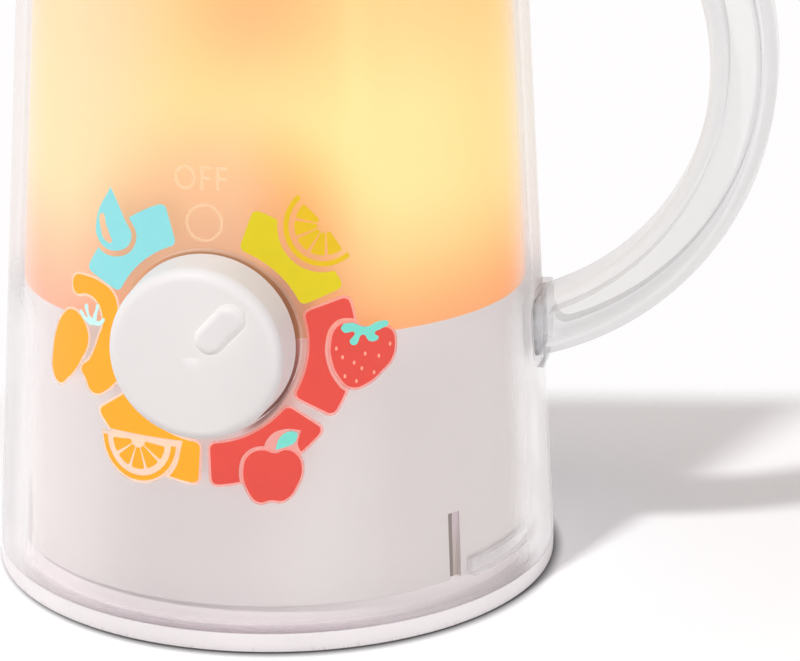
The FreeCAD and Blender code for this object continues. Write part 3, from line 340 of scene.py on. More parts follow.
def seen_directly(graph):
    """1 for rays from the camera, and for those that a gloss or a clear piece passes on."""
    camera = graph.node("ShaderNodeLightPath", out="Is Camera Ray")
    glossy = graph.node("ShaderNodeLightPath", out="Is Glossy Ray")
    through = graph.node("ShaderNodeLightPath", out="Is Transmission Ray")
    return graph.larger(graph.larger(camera, glossy), through)


strength = SOFT_LIGHT + (1 - SOFT_LIGHT) * seen_directly(room)
backdrop = room.node("ShaderNodeBackground", values={"Color": (1.0, 0.985, 0.99), "Strength": strength})
room.node("ShaderNodeOutputWorld", values={"Surface": backdrop})
print("soft light", SOFT_LIGHT)

# %% [markdown]
# ### Lamps
# One small round lamp from the upper left gives the shadow its direction and is the only one that gloss
# mirrors. Two broad lamps lift the sides. All of them are far off beside the toy's size, so their light
# hardly falls away over the floor. A lamp's watts follow from its distance and from how light it makes a
# white sheet.

# %% The lamps
def soft_lamp(name, side, away, size, level, mirrored=False):
    """A round lamp that lights a sheet facing it at the toy to the given level, where 1 looks like white."""
    lamp = bpy.data.objects.new(name, bpy.data.lights.new(name, "AREA"))
    bpy.context.scene.collection.objects.link(lamp)
    side = Vector(side).normalized()
    lamp.data.shape = "DISK"
    lamp.data.size = size
    lamp.data.energy = level * (math.pi * away) ** 2
    lamp.location = side * away
    lamp.visible_glossy = mirrored
    lamp.rotation_mode = "QUATERNION"
    lamp.rotation_quaternion = (-side).to_track_quat("-Z", "Y")
    print(name, round(lamp.data.energy, 1), "W")


soft_lamp("key lamp", (-0.275, -0.573, 0.772), away=2.4, size=0.22, level=0.57, mirrored=True)
soft_lamp("left fill", (-0.93, -0.12, 0.34), away=1.8, size=1.2, level=0.30)
soft_lamp("right fill", (0.90, -0.30, 0.30), away=1.8, size=1.3, level=0.50)

# %% [markdown]
# ### The floor
# The floor is one large white sheet. Right at the toy's foot little light gets in, so a thin dark line is
# painted round it, strongest in front and towards the handle. Some way behind the toy the sheet fades into
# the white background through a Mix Shader, so that no horizon shows.

# %% The floor's sheet
floor_mesh = bpy.data.meshes.new("floor")
sheet = bmesh.new()
bmesh.ops.create_grid(sheet, x_segments=1, y_segments=1, size=1.5)
sheet.to_mesh(floor_mesh)
sheet.free()
floor = bpy.data.objects.new("floor", floor_mesh)
bpy.context.scene.collection.objects.link(floor)
print("floor", round(floor.dimensions.x, 2), "m wide")

# %% The floor's finish
FADE_START, FADE_END = 81.0, 104.0
paper = Finish("white floor", {"Roughness": 0.9, "Specular IOR Level": 0.1, "Emission Strength": 1.0})
direct = seen_directly(paper)
floor_turn = paper.turn()
side_share = 0.15 + 0.85 * paper.rise(floor_turn, -95.0, -10.0) * paper.fall(floor_turn, 110.0, 170.0)
line_end = base_edge + 1.2 + 1.8 * paper.rise(floor_turn, -60.0, 0.0)
contact = side_share * paper.fall(paper.from_axis(), base_edge - 0.7, line_end)
open_floor = 1 - 0.86 * contact
paper.shade("Base Color", paper.blend(direct, (0.80, 0.79, 0.79), (0.98, 0.975, 0.98)) * open_floor)
paper.shade("Emission Color", direct * (0.085, 0.075, 0.08) * open_floor)
behind_toy = paper.x * ahead[0] + paper.y * ahead[1]
fade = paper.rise(behind_toy, FADE_START, FADE_END) * direct
clear_floor = paper.node("ShaderNodeBsdfTransparent")
mixed = paper.node(
    "ShaderNodeMixShader", values={0: fade, 1: Flow(paper, paper.shader.outputs[0]), 2: clear_floor},
)
paper.tree.links.new(mixed.socket, paper.surface)
paper.dress(floor)

# %% [markdown]
# ## Moulded white plastic
# The base ring, the drum, the dial and the hidden housings are white ABS, made in polished or finely
# textured tools. Such a surface is never one flat white: thick places shrink and look a shade darker, the
# tool's fine grain spreads the gloss, and handled edges grow a little smoother. Two noises are enough for
# this, a slow one for tone and a fine one for grain, so one function serves every white piece.

# %% A function for moulded plastic
def moulded(name, colour, roughness=0.36, grain=0.012, drift=0.035, grain_scale=3.2):
    """A satin plastic: slow change of tone, fine grain, and roughness that wanders a little."""
    made = Finish(name, {"IOR": 1.5})
    slow = made.rise(made.noise(0.035, 3.0), 0.3, 0.7)
    made.tone = made.blend(slow, scaled(colour, 1 - drift), scaled(colour, 1 + drift * 0.6))
    made.shade("Base Color", made.tone)
    made.shade("Roughness", roughness - 0.05 + 0.1 * made.noise(0.25, 3.0))
    made.grain = made.noise(grain_scale, 3.0, 0.6)
    made.relief(made.grain, grain, 0.6)
    return made


white = moulded("moulded white", paint(236, 231, 230))
white.dress("dial_housing", "dial_back_plate", "deck")

# %% [markdown]
# ### The drum
# The drum is the large white wall behind the clear shell. Light that runs inside the shell paints faint
# upright bands on it, pink and cream. A noise that is squeezed to nothing along the height gives such bands.
# Painted shade makes the drum a little darker at its lower end, where it goes behind the ring, and painted
# light makes it lighter to the left and a touch lighter towards the handle.

# %% The drum's tone
drum = moulded("drum white", paint(226, 219, 219), roughness=0.42, grain=0.008, drift=0.015)
drum_turn = drum.turn()
drum_front = drum.front_half()
bands = drum.rise(drum.noise(0.05, 1.0, 0.5, (1.0, 1.0, 0.02)), 0.3, 0.7)
tint = drum.blend(bands, (1.0, 0.972, 0.98), (1.0, 1.0, 0.99))
above_foot = drum.rise(drum.z, DRUM_FOOT, DRUM_FOOT + 8.0)
# Painted shade at the drum's foot, and painted light on its left and towards the handle.
lit_toward_handle = drum.rise(drum_turn, 15.0, 50.0) * drum_front
lit_toward_left = drum.fall(drum_turn, -50.0, -12.0) * drum_front
drum_tone = drum.tone * tint * (0.88 + 0.02 * above_foot)
drum_tone = drum_tone * (1 + 0.03 * lit_toward_handle) * (1 + 0.12 * lit_toward_left)
print("drum nodes", len(drum.tree.nodes))

# %% [markdown]
# ### The slot beside the snap bar
# The drum has a narrow upright slot beside each snap bar, and the one on the handle's side is in plain view.
# It is little more than a millimetre deep, and soft light from all round leaves hardly any shade in so
# shallow a slot. Masks by angle and by height paint the tones: a darker floor, a lit wall on one side, and on
# the other a wedge of shade that narrows towards the top.

# %% Paint the slot
SLOT_LOW, SLOT_HIGH = 7.2, 21.4
SLOT_START, SLOT_END = 51.3, 54.4
inside_slot = drum.band(drum_turn, SLOT_START - 0.1, SLOT_END, 0.1)
inside_slot = inside_slot * drum.band(drum.z, SLOT_LOW, SLOT_HIGH, 0.3)
wedge_width = 0.35 + 0.9 * drum.fall(drum.z, SLOT_LOW, SLOT_HIGH)
in_wedge = drum.fall(drum_turn - SLOT_START - 1.1, wedge_width * 0.4, wedge_width)
slot_wall = inside_slot * drum.rise(drum_turn, SLOT_END - 0.35, SLOT_END - 0.2)
slot_floor = drum.blend(drum.rise(drum.z, 12.0, 19.0), paint(196, 184, 176), paint(202, 186, 192))
slot_tone = drum.blend(in_wedge, slot_floor, paint(128, 112, 102))
drum_tone = drum.blend(inside_slot, drum_tone, slot_tone)
print("slot from", SLOT_LOW, "to", SLOT_HIGH, "mm up")

# %% [markdown]
# ### The gap round the dial
# The dial stands in a hole in the shell, and the drum shows in the gap between them. The gap is dark on the
# right, away from the key lamp, where the dial shades it, and darkest beside the dial's lower half. The shade
# is a ring round a point a little to the left of the dial's axis and below it. A little of the warm light
# inside leaks out round the dial, most of it on the right.

# %% Paint the gap and finish the drum
HIDDEN_LEFT, HIDDEN_DOWN = 1.2, 1.8
gap_out = drum.from_dial(HIDDEN_LEFT, HIDDEN_DOWN)
at_front = drum.fall(drum.y, -46.0, -40.0)
leak = at_front * drum.fall(drum.from_dial(), 2.5, 7.5) * (0.35 + 0.65 * drum.rise(drum.x, -8.0, 12.0))
drum.shade("Emission Color", leak * (0.10, 0.04, 0.03) + slot_wall * (0.16, 0.14, 0.14))
drum.shade("Emission Strength", 1.0)
on_right = drum.rise(drum.x, 5.0, 10.0) * at_front
crescent = drum.fall(gap_out, 0.5, 1.4) * on_right
round_gap = drum.fall(gap_out, 1.5, 4.5) * on_right
deepest = drum.bump_at(drum.z, dial_up - 11.0, 9.0)
drum_tone = drum_tone * (1 - round_gap * (0.16, 0.42, 0.48))
drum.shade("Base Color", drum_tone * (1 - crescent * (0.5, 0.7, 0.7)) * (1 - crescent * deepest * 0.75))
drum.dress("drum_housing")

# %% [markdown]
# ### The base ring and the battery door
# The ring is the part that stands on the table. Its outside is satin and its foot is scuffed by the table,
# which shows as short, crossing, duller marks on the lowest millimetre or so. The edge that it stands on is
# painted darker, as painted shade where it meets the table. Where the clear shell meets the ring, its foot
# shades the step, and this too is painted shade. A faint Emission paints a little light on the ledge inside
# the shell's foot. The door gets the same finish, because it is moulded in the same plastic and lies just
# above the table too.

# %% The base's finish
base = moulded("base white", paint(235, 229, 230), roughness=0.33, grain=0.01)
scuffs = base.rise(base.noise(0.5, 4.0, 0.65, (1.0, 6.0, 1.0)), 0.5, 0.68)
foot_scuffs = scuffs * base.fall(base.z, 0.4, 1.6)
base_out = base.from_axis()
joint = base.rise(base.z, RING_TOP - 0.08, RING_TOP - 0.03)
joint_shade = 1 - 0.12 * base.rise(base_out, base_edge - 3.5, base_edge - 0.2)
base_tone = base.blend(joint, base.tone, base.tone * (0.98, 0.955, 0.965) * joint_shade)
# Painted shade on the outer edge that the ring stands on.
foot_edge_shade = base.rise(base_out, base_edge - 1.0, base_edge - 0.6) * base.fall(base.z, 0.12, 0.5)
base_tone = base_tone * (1 - 0.6 * foot_edge_shade)
base.shade("Base Color", base.blend(foot_scuffs, base_tone, base_tone * 0.8))
base.shade("Roughness", 0.3 + 0.08 * base.noise(0.25) + 0.25 * foot_scuffs)
# Painted light: a faint Emission on the ledge inside the shell's foot.
under_shell_light = joint * base.rise(base_out, base_edge - 9.0, base_edge - 6.0) * base.fall(base.z, 12.0, 14.0)
base.shade("Emission Color", under_shell_light * (0.02, 0.02, 0.02))
base.shade("Emission Strength", 1.0)
base.dress("base_pan", "battery_door")

# %% [markdown]
# ### The dial
# The dial is the piece that fingers touch, so its grain is worn finer than the drum's. Its side is painted
# cooler than its face, as painted light from the white room, and both are painted darker to the right, as
# painted shade away from the key lamp.
# In a soft room the dial's shadow on the wall behind it is too faint to see, and the small key lamp would
# draw a plain one, so the dial is told not to cast it.

# %% The dial's finish
dial_white = moulded("dial white", paint(231, 227, 226), roughness=0.5, grain=0.003, drift=0.01)
# Painted shade to the right, and a cooler painted light on the dial's side.
to_right = dial_white.rise(dial_white.x, 0.0, 14.0)
dial_side = dial_white.rise(dial_white.from_dial(), -1.7, -0.1)
dial_tone = dial_white.tone * (0.97 - 0.05 * to_right)
lit_side_tone = dial_tone * (0.90, 0.945, 0.97) * (1 - to_right * (0.06, 0.13, 0.13))
dial_white.shade("Base Color", dial_white.blend(dial_side, dial_tone, lit_side_tone))
dial_white.shade("Specular IOR Level", 0.3)
dial_white.dress("knob")
frame["nodes"]["knob"].visible_shadow = False

# %% [markdown]
# ## The glowing wall
# The frosted wall is milk-white plastic a couple of millimetres thick. Warm lamps shine up behind it, so it
# is darker and more orange where the drum begins, brightest above that, and a little dimmer towards the top.
# A real lamp behind such a wall needs long paths of light, which come out noisy. Instead the wall gives its
# own light: soft spots and steps are added up to a level from 0 to 1, and a ramp turns it into a colour.

# %% The level of the glow
glow = Finish("frosted wall", {"Roughness": 0.5, "IOR": 1.49, "Emission Strength": 1.0})
turn = glow.turn() - 0.7
height = glow.z
foot_rise = glow.rise(height, 57.0, 88.0)
top_fall = glow.rise(height, 96.0, 124.0)
left_spot = glow.bump_at(turn, -42.0, 30.0)
right_spot = glow.bump_at(turn, 44.0, 26.0) * glow.bump_at(height, 92.0, 26.0)
dim_column = glow.bump_at(turn, 8.0, 17.0) * glow.rise(height, 98.0, 120.0)
streak = glow.bump_at(turn, 31.0, 3.4) * glow.rise(height, 62.0, 88.0)
level = 0.08 + 0.72 * foot_rise - 0.25 * top_fall * (1 - 0.6 * left_spot) - 0.3 * dim_column
level = level + 0.22 * right_spot + 0.2 * left_spot * foot_rise + 0.1 * streak
level = level + 0.05 * (glow.noise(0.03, 2.0) - 0.5)
print("glow nodes", len(glow.tree.nodes))

# %% [markdown]
# At the back nothing stands between the lamps and the wall, so there is a row of soft spots, as far apart as
# the lamps are. A cosine of the angle gives such a row. At the front the dial's housing, which has an arched
# top, stands behind the wall and shades it.

# %% The spots at the back and the arch round the dial
LAMP_STEP = 36.0
ARCH_HALF, ARCH_TOP, ARCH_SOFT = 23.0, 97.0, 9.0
waves = glow.node("ShaderNodeMath", {"operation": "COSINE"}, {0: turn * (2 * math.pi / LAMP_STEP)})
level = level + 0.14 * glow.rise(glow.y, 4.0, 26.0) * waves * glow.bump_at(height, 72.0, 13.0)
over = glow.larger(height - (ARCH_TOP - ARCH_HALF), 0.0)
sideways = glow.x - 1.0
reach = glow.root(sideways * sideways + over * over)
in_front = glow.fall(glow.y, -30.0, -10.0)
arch = glow.fall(reach, ARCH_HALF - ARCH_SOFT, ARCH_HALF + ARCH_SOFT) * in_front
print("arch top", ARCH_TOP, "mm")

# %% [markdown]
# The light is yellow on most of the wall and more like cream on the left, so there are two ramps, and a mask
# goes from one to the other. The arch and the places behind and beside the dial get darker tones, which are
# painted shade.

# %% The glow's colours
left_side = glow.fall(turn, -34.0, 0.0) * glow.front_half()
warm = glow.ramp(
    level, (0.0, paint(246, 152, 96)), (0.3, paint(252, 184, 114)), (0.65, paint(255, 209, 134)),
    (1.0, paint(255, 227, 150)),
)
cream = glow.ramp(
    level, (0.0, paint(250, 168, 141)), (0.3, paint(252, 186, 148)), (0.65, paint(253, 203, 158)),
    (1.0, paint(255, 220, 168)),
)
lit = glow.blend(left_side, warm, cream)
arch_right = glow.rise(turn, 2.0, 22.0)
low_arch = glow.blend(arch_right, paint(222, 164, 132), paint(226, 156, 106))
high_arch = glow.blend(arch_right, paint(252, 192, 140), paint(255, 166, 60))
shaded = glow.blend(glow.rise(height, 70.0, 96.0), low_arch, high_arch)
lit = glow.blend(arch * 0.9, lit, shaded)
# Painted shade behind the dial and beside it on the right.
past_dial = glow.from_dial()
shade_behind_dial = glow.fall(past_dial, -1.0, 0.7) * in_front
shade_beside_dial = glow.fall(past_dial, 1.0, 4.5) * glow.rise(glow.x, 9.0, 14.0) * in_front
lit = (lit - 0.04) * (1 - 0.5 * shade_behind_dial) * (1 - shade_beside_dial * (0.3, 0.34, 0.2))
glow.shade("Base Color", lit * 0.34)
glow.shade("Emission Color", lit * 0.74)
glow.relief(glow.noise(5.0, 3.0, 0.6), 0.01, 0.5)
glow.dress("frosted_wall")

# %% [markdown]
# ## Clear plastic
# The shell is polished clear plastic. Bending every ray in it would also hold back the lamp's light from the
# drum, so the wall is made see-through by its Alpha instead: almost all of the light passes straight on, and
# the wall grows milky where it is seen edge on, which Layer Weight finds. Some places need a mask of their
# own: the snap bars inside the wall, the two collars that stand out from it, its foot, and its sides. At the
# foot a mauve line is painted shade in the gap above the ring, the left side is painted darker as painted
# shade, and the right side is made milkier as a painted light rim.

# %% Places on the clear shell
BAR_INSET = 2.8
shell = Finish("clear shell", {"IOR": 1.49, "Specular IOR Level": 0.6})
inset = shell.inside_shell()
shell_turn = shell.turn()
shell_front = shell.front_half()
bars = shell.rise(inset, BAR_INSET - 0.05, BAR_INSET + 0.05)
collars = shell.fall(inset, -0.12, -0.05)
# Painted shade on the left side and at the foot, and a painted light rim on the right.
shaded_left_wall = shell.fall(shell_turn, -80.0, -40.0) * shell_front
lit_right_wall = shell.rise(shell_turn, 45.0, 75.0) * shell_front
foot_shade_line = shell.fall(shell.z, 4.3, 6.0) * (0.3 + 0.7 * shell.rise(shell_turn, -55.0, -5.0) * shell_front)
foot_shade_line = foot_shade_line * (1 - 0.6 * shell.rise(shell_turn, 15.0, 55.0) * shell_front)
print("bars from", BAR_INSET, "mm inside the shell's face")

# %% The clear shell's finish
edge_on = shell.edge_on()
flow_marks = shell.noise(0.05, 2.0, 0.5, (1.0, 1.0, 0.25))
milky = 0.42 * shell.rise(edge_on, 0.55, 0.95)
milky = milky + 0.38 * shell.fall(shell.z, 52.0, 64.0) * shell.rise(edge_on, 0.5, 0.72)
milky = milky * (1 + 0.5 * lit_right_wall)
shell_tone = shell.blend(flow_marks, paint(246, 242, 243), paint(250, 248, 248)) * (1 - 0.24 * shaded_left_wall)
shell_tone = shell.blend(collars, shell_tone, paint(218, 222, 230))
shell.shade("Base Color", shell.blend(foot_shade_line, shell_tone, paint(186, 172, 178)))
cover = 0.035 + 0.02 * flow_marks + milky * (1 - 0.6 * collars)
shell.shade("Alpha", cover + 0.3 * bars + 0.08 * collars + 0.42 * foot_shade_line)
shell.shade("Roughness", 0.04 + 0.05 * flow_marks)
shell.relief(flow_marks, 0.02, 0.5)
shell.dress("clear_shell")

# %% [markdown]
# ### The handle
# The handle has two flanges and a web between them, and each bends the light in long streaks that follow the
# handle's arc. Bent rays in so thick a piece would come out dark, so a ramp across the arc, from its inner
# face to its outer one, paints the streaks in greys. The two faces are arcs about slightly different centres.

# %% The streaks along the handle
HANDLE_X, HANDLE_Z = 38.3, 102.5
HANDLE_IN, HANDLE_OUT = 47.9, 58.7
TAPER = 1.8
GREYS = (
    (0.0, 0.52), (0.10, 0.66), (0.15, 0.50), (0.21, 0.50), (0.27, 0.66), (0.33, 0.95), (0.65, 0.95),
    (0.69, 0.52), (0.735, 0.30), (0.775, 0.42), (0.81, 0.85), (0.85, 0.46), (0.95, 0.42), (1.0, 0.55),
)
handle = Finish("clear handle", {"IOR": 1.49, "Specular IOR Level": 0.5})
past_inner = handle.away(HANDLE_X, HANDLE_Z) - HANDLE_IN
to_outer = HANDLE_OUT - handle.away(HANDLE_X + TAPER, HANDLE_Z)
across = past_inner / (past_inner + to_outer)
streaks = handle.ramp(across, *((where, (grey,) * 3) for where, grey in GREYS))
print("streaks across", round(HANDLE_OUT - HANDLE_IN, 1), "mm")

# %% [markdown]
# Where the handle meets the jug, the border of its end shows as a dark oval line. To the eye the handle's
# Alpha is low, but a shadow ray finds it much denser, because clear plastic this thick still throws a shadow.

# %% The handle's end and its finish
HALF_THICK = 8.0
from_middle = handle.node("ShaderNodeMath", {"operation": "ABSOLUTE"}, {0: handle.y})
arc_faces = handle.larger(handle.fall(across, 0.03, 0.08), handle.rise(across, 0.92, 0.97))
rim = handle.larger(handle.rise(from_middle, HALF_THICK - 1.0, HALF_THICK - 0.2), arc_faces)
at_wall = handle.rise(handle.inside_shell(), -0.9, -0.3) * rim
swirl = handle.noise(0.08, 2.0)
handle_tone = handle.blend(swirl, streaks * (0.97, 0.955, 0.955), streaks)
handle.shade("Base Color", handle_tone * (1 - 0.55 * at_wall))
casting = handle.node("ShaderNodeLightPath", out="Is Shadow Ray")
to_eye = 0.21 + 0.1 * handle.rise(handle.edge_on(), 0.55, 0.95) + 0.3 * at_wall
handle.shade("Alpha", handle.larger(to_eye, casting * 0.75))
handle.shade("Roughness", 0.05 + 0.06 * handle.noise(0.2, 2.0))
handle.relief(swirl, 0.03, 0.5)
handle.dress("handle")

# %% [markdown]
# ### The filler cap
# The cap is small and nothing has to be seen through it, so it can be true clear plastic that bends its rays.

# %% The filler cap's finish
cap = Finish("clear cap", {"IOR": 1.49, "Transmission Weight": 0.85})
cap_marks = cap.noise(0.15, 2.0)
cap.shade("Base Color", cap.blend(cap_marks, paint(244, 240, 238), paint(251, 249, 248)))
cap.shade("Roughness", 0.06 + 0.08 * cap_marks)
cap.relief(cap_marks, 0.05, 0.5)
cap.dress("filler_cap")

# %% [markdown]
# ## The cup, the paddle and the lid
# The cup inside the jug is frosted like the wall round it, but thinner, and the lamps below warm it a little,
# which Emission adds. Its inside shows fine upright drag marks from pulling it off its core.

# %% The frosted cup
cup = moulded("frosted cup", paint(238, 232, 226), roughness=0.5, grain=0.02, drift=0.02, grain_scale=6.0)
warmth = cup.fall(cup.z, 100.0, 172.0)
cup.shade("Emission Color", cup.blend(warmth, (0.05, 0.04, 0.03), (0.2, 0.14, 0.08)))
cup.shade("Emission Strength", 1.0)
drag = cup.noise(1.2, 2.0, 0.5, (1.0, 1.0, 0.03))
cup.relief(0.6 * drag + 0.4 * cup.grain, 0.02, 0.6)
cup.dress("mixing_cup")

# %% [markdown]
# The paddle, the jug's rim and the lid are satin white, a little glossier than the drum. The seal under the
# lid is silicone, which is matte and picks up dust, so a broken noise makes it paler in places.

# %% Paddle, rim, lid and seal
blades = moulded("paddle white", paint(236, 232, 229), roughness=0.3, grain=0.01)
blades.dress("paddle")
lid = moulded("lid white", paint(237, 232, 230), roughness=0.3, grain=0.015)
lid.dress("rim_ring", "lid")
silicone = moulded(
    "silicone seal", paint(226, 222, 217), roughness=0.65, grain=0.03, drift=0.05, grain_scale=2.0,
)
dust = silicone.rise(silicone.noise(1.5, 4.0, 0.7), 0.55, 0.75)
silicone.shade("Base Color", silicone.blend(dust * 0.4, silicone.tone, paint(240, 238, 235)))
silicone.shade("Coat Weight", 0.1 * (1 - dust))
silicone.dress("lid_seal")

# %% [markdown]
# ## Metal pieces
# Screws, contacts, the clip and the click spring are plated steel. Plating is a mirror with tiny scratches
# and a little tarnish, so the metal's roughness and colour both wander. Contacts are nickel, which is a touch
# warmer than the zinc of the screws.

# %% Plated steel
def plated(name, colour, dull, stretch=(1.0, 1.0, 1.0)):
    """A metal with tarnish and scratches; a stretch above 1 narrows the scratches along that axis."""
    made = Finish(name, {"Metallic": 1.0})
    tarnish = made.rise(made.noise(0.5, 4.0, 0.6), 0.45, 0.75)
    scratches = made.noise(4.0, 3.0, 0.6, stretch)
    made.shade("Base Color", made.blend(tarnish, colour, dull))
    made.shade("Roughness", 0.22 + 0.2 * tarnish + 0.12 * scratches)
    made.relief(scratches, 0.008, 0.5)
    return made


zinc = plated("zinc plate", paint(206, 208, 212), paint(176, 176, 180))
zinc.dress("case_screws", "deck_screws", "dial_screws", "battery_door_screw", "shaft_clip", "detent_spring")
nickel = plated("nickel plate", paint(214, 208, 198), paint(188, 180, 166), (1.0, 8.0, 8.0))
nickel.dress("battery_contacts")

# %% [markdown]
# ## The electronics
# The boards are fibreglass under green solder mask. Copper tracks lie under the mask and show as slightly
# raised, lighter lines, and bare pads are tinned. A brick pattern makes the tracks, because they run straight
# and turn at right angles, and a cell pattern makes the pads.

# %% Circuit boards
board = Finish("solder mask", {"IOR": 1.5})
tracks = board.node("ShaderNodeTexBrick", {"offset": 0.5}, {
    "Vector": board.place, "Scale": 0.16, "Mortar Size": 0.012, "Mortar Smooth": 0.1, "Brick Width": 0.6,
    "Row Height": 0.22,
}, out="Fac")
pads = board.fall(board.cells(0.22), 0.1, 0.13)
fibres = board.noise(2.4, 3.0, 0.6)
mask_green = board.blend(fibres, paint(24, 92, 54), paint(34, 108, 64))
copper_green = board.blend(tracks, mask_green, paint(64, 140, 84))
board.shade("Base Color", board.blend(pads, copper_green, paint(200, 200, 196)))
board.shade("Metallic", pads * 0.9)
board.shade("Roughness", 0.34 + 0.1 * fibres - 0.08 * pads)
board.relief(board.larger(tracks, pads), 0.04, 0.7)
board.dress("main_board", "light_board")

# %% [markdown]
# The parts on the main board are one piece: white plugs along its back edge, a blob of black resin over the
# chip, and a capacitor in a dark sleeve with a pale stripe. Each stands in a place of its own, so masks by
# place give each its colour.

# %% Parts on the main board
CAN_X, CAN_Y, CAN_REACH = 18.0, 4.0, 2.7
bits = Finish("board parts", {"IOR": 1.5})
can = bits.fall(bits.from_axis(CAN_X, CAN_Y), CAN_REACH, CAN_REACH + 0.1)
plugs = bits.rise(bits.y, 4.4, 4.6) * (1 - can)
speckle = bits.noise(3.0, 3.0)
dark = bits.blend(speckle, paint(24, 24, 27), paint(38, 38, 42))
pale = bits.blend(speckle, paint(226, 222, 210), paint(238, 235, 226))
sleeve = bits.blend(bits.rise(bits.x, CAN_X + 0.9, CAN_X + 1.1), paint(30, 34, 58), paint(196, 198, 204))
bits.shade("Base Color", bits.blend(can, bits.blend(plugs, dark, pale), sleeve))
bits.shade("Roughness", 0.2 + 0.25 * plugs + 0.1 * speckle)
bits.relief(speckle, 0.02, 0.5)
bits.dress("board_parts")

# %% [markdown]
# The lamps are domes of clear warm resin, which glow more at their tips. The leads are stranded wire in soft
# coloured sleeves: grey for the dial's switch, red for the loudspeaker and yellow for the lamps. They are one
# piece too, and a mask by place tells them apart.

# %% Lamps and leads
lamp_resin = Finish("warm lamp", {"IOR": 1.5, "Emission Strength": 1.5})
tip = lamp_resin.rise(lamp_resin.z, 56.0, 61.0)
haze = lamp_resin.noise(1.0, 2.0)
lamp_resin.shade("Base Color", lamp_resin.blend(haze, paint(250, 214, 150), paint(255, 228, 176)))
lamp_resin.shade("Emission Color", lamp_resin.blend(tip, paint(255, 176, 90), paint(255, 224, 160)))
lamp_resin.shade("Roughness", 0.12 + 0.1 * haze)
lamp_resin.dress("leds")

insulation = Finish("wire insulation", {"IOR": 1.5})
ripple = insulation.noise(1.4, 3.0)
to_speaker = insulation.rise(insulation.y, 9.0, 9.3) * insulation.fall(insulation.z, 44.0, 45.0)
to_lamps = insulation.rise(insulation.x, 1.8, 2.0)
lead_colour = insulation.blend(to_speaker, paint(60, 60, 64), paint(196, 44, 40))
lead_colour = insulation.blend(to_lamps, lead_colour, paint(232, 190, 60))
insulation.shade("Base Color", lead_colour * (0.9 + 0.2 * ripple))
insulation.shade("Roughness", 0.38 + 0.14 * ripple)
insulation.relief(ripple, 0.02, 0.5)
insulation.dress("wires")

# %% [markdown]
# The dial's switch has a case of black phenolic resin, flecked by its filler, with tinned tags at one end.
# The depth at which the tags begin is counted from the solid's own box.

# %% Dial switch
TAG_DEPTH = 3.0
switch_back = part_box("rotary_switch")[1].y / MM
phenolic = Finish("switch case", {"IOR": 1.5})
tags = phenolic.rise(phenolic.y, switch_back - TAG_DEPTH - 0.05, switch_back - TAG_DEPTH + 0.05)
flecks = phenolic.noise(1.8, 4.0, 0.7)
resin = phenolic.blend(flecks, (0.012, 0.012, 0.014), (0.03, 0.028, 0.03))
phenolic.shade("Base Color", phenolic.blend(tags, resin, (0.7, 0.68, 0.62)))
phenolic.shade("Metallic", tags)
phenolic.shade("Roughness", 0.42 + 0.12 * flecks - 0.15 * tags)
phenolic.relief(flecks, 0.03, 0.6)
phenolic.dress("rotary_switch")

# %% [markdown]
# Each cell wears a printed sleeve of thin film, silver at one end and blue over the rest, and its steel ends
# stay bare. The film is a little metallic and shows the long creases that shrinking leaves in it.

# %% Battery sleeves
cells_low, cells_high = (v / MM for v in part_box("battery_cells"))
film = Finish("battery sleeve", {"IOR": 1.5})
crease = film.noise(0.6, 3.0, 0.6, (0.2, 1.0, 1.0))
blue_part = film.rise(film.x, cells_low.x + 15.0, cells_low.x + 15.2)
ends = film.larger(
    film.rise(film.x, cells_high.x - 1.6, cells_high.x - 1.4),
    film.fall(film.x, cells_low.x + 1.4, cells_low.x + 1.6),
)
film_tone = film.blend(blue_part, paint(198, 200, 204), paint(62, 78, 104)) * (0.92 + 0.16 * crease)
film.shade("Base Color", film.blend(ends, film_tone, paint(206, 204, 198)))
film.shade("Metallic", 0.25 + 0.7 * ends)
film.shade("Roughness", 0.26 + 0.16 * crease)
film.relief(crease, 0.04, 0.6)
film.dress("battery_cells")

# %% [markdown]
# The loudspeaker has a basket of pressed steel and a cone of paper pulp. Pulp is matte and fibrous, and the
# cone is pressed with fine rings about its middle, which a wave pattern gives.

# %% Loudspeaker
CONE_MIDDLE = (0.0, 38.1, 4.0)
basket = plated("pressed steel basket", paint(150, 152, 156), paint(112, 112, 118))
basket.dress("speaker_frame")
pulp = Finish("speaker cone", {"IOR": 1.4})
fibre = pulp.noise(3.0, 5.0, 0.75)
rings = pulp.node(
    "ShaderNodeTexWave", {"wave_type": "RINGS", "rings_direction": "SPHERICAL"},
    {"Vector": pulp.place - CONE_MIDDLE, "Scale": 0.35, "Distortion": 0.4},
)
pulp.shade("Base Color", pulp.blend(fibre, paint(34, 33, 34), paint(58, 55, 54)))
pulp.shade("Roughness", 0.75 + 0.15 * fibre)
pulp.relief(0.5 * rings + 0.5 * fibre, 0.08, 0.7)
pulp.dress("speaker_cone")

# %% [markdown]
# The dial's shaft and its click wheel are natural nylon, which slides well without oil. It is creamier than
# ABS and has a coarser grain, so the function for moulded plastic serves again with other numbers.

# %% Nylon works of the dial
nylon = moulded(
    "natural nylon", paint(230, 227, 214), roughness=0.4, grain=0.02, drift=0.03, grain_scale=2.0,
)
nylon.dress("dial_shaft", "detent_wheel")

# %% [markdown]
# ## The prints
# Six coloured fields stand round the dial, each with a small fruit or a drop that says what the place is
# for. Ink is only hundredths of a millimetre thick, so it isn't part of the solids. Here each print is drawn
# flat, in millimetres, with the dial's axis as the origin. The fields are made by spinning one edge, and the
# fruits are closed Bezier curves with a few points.

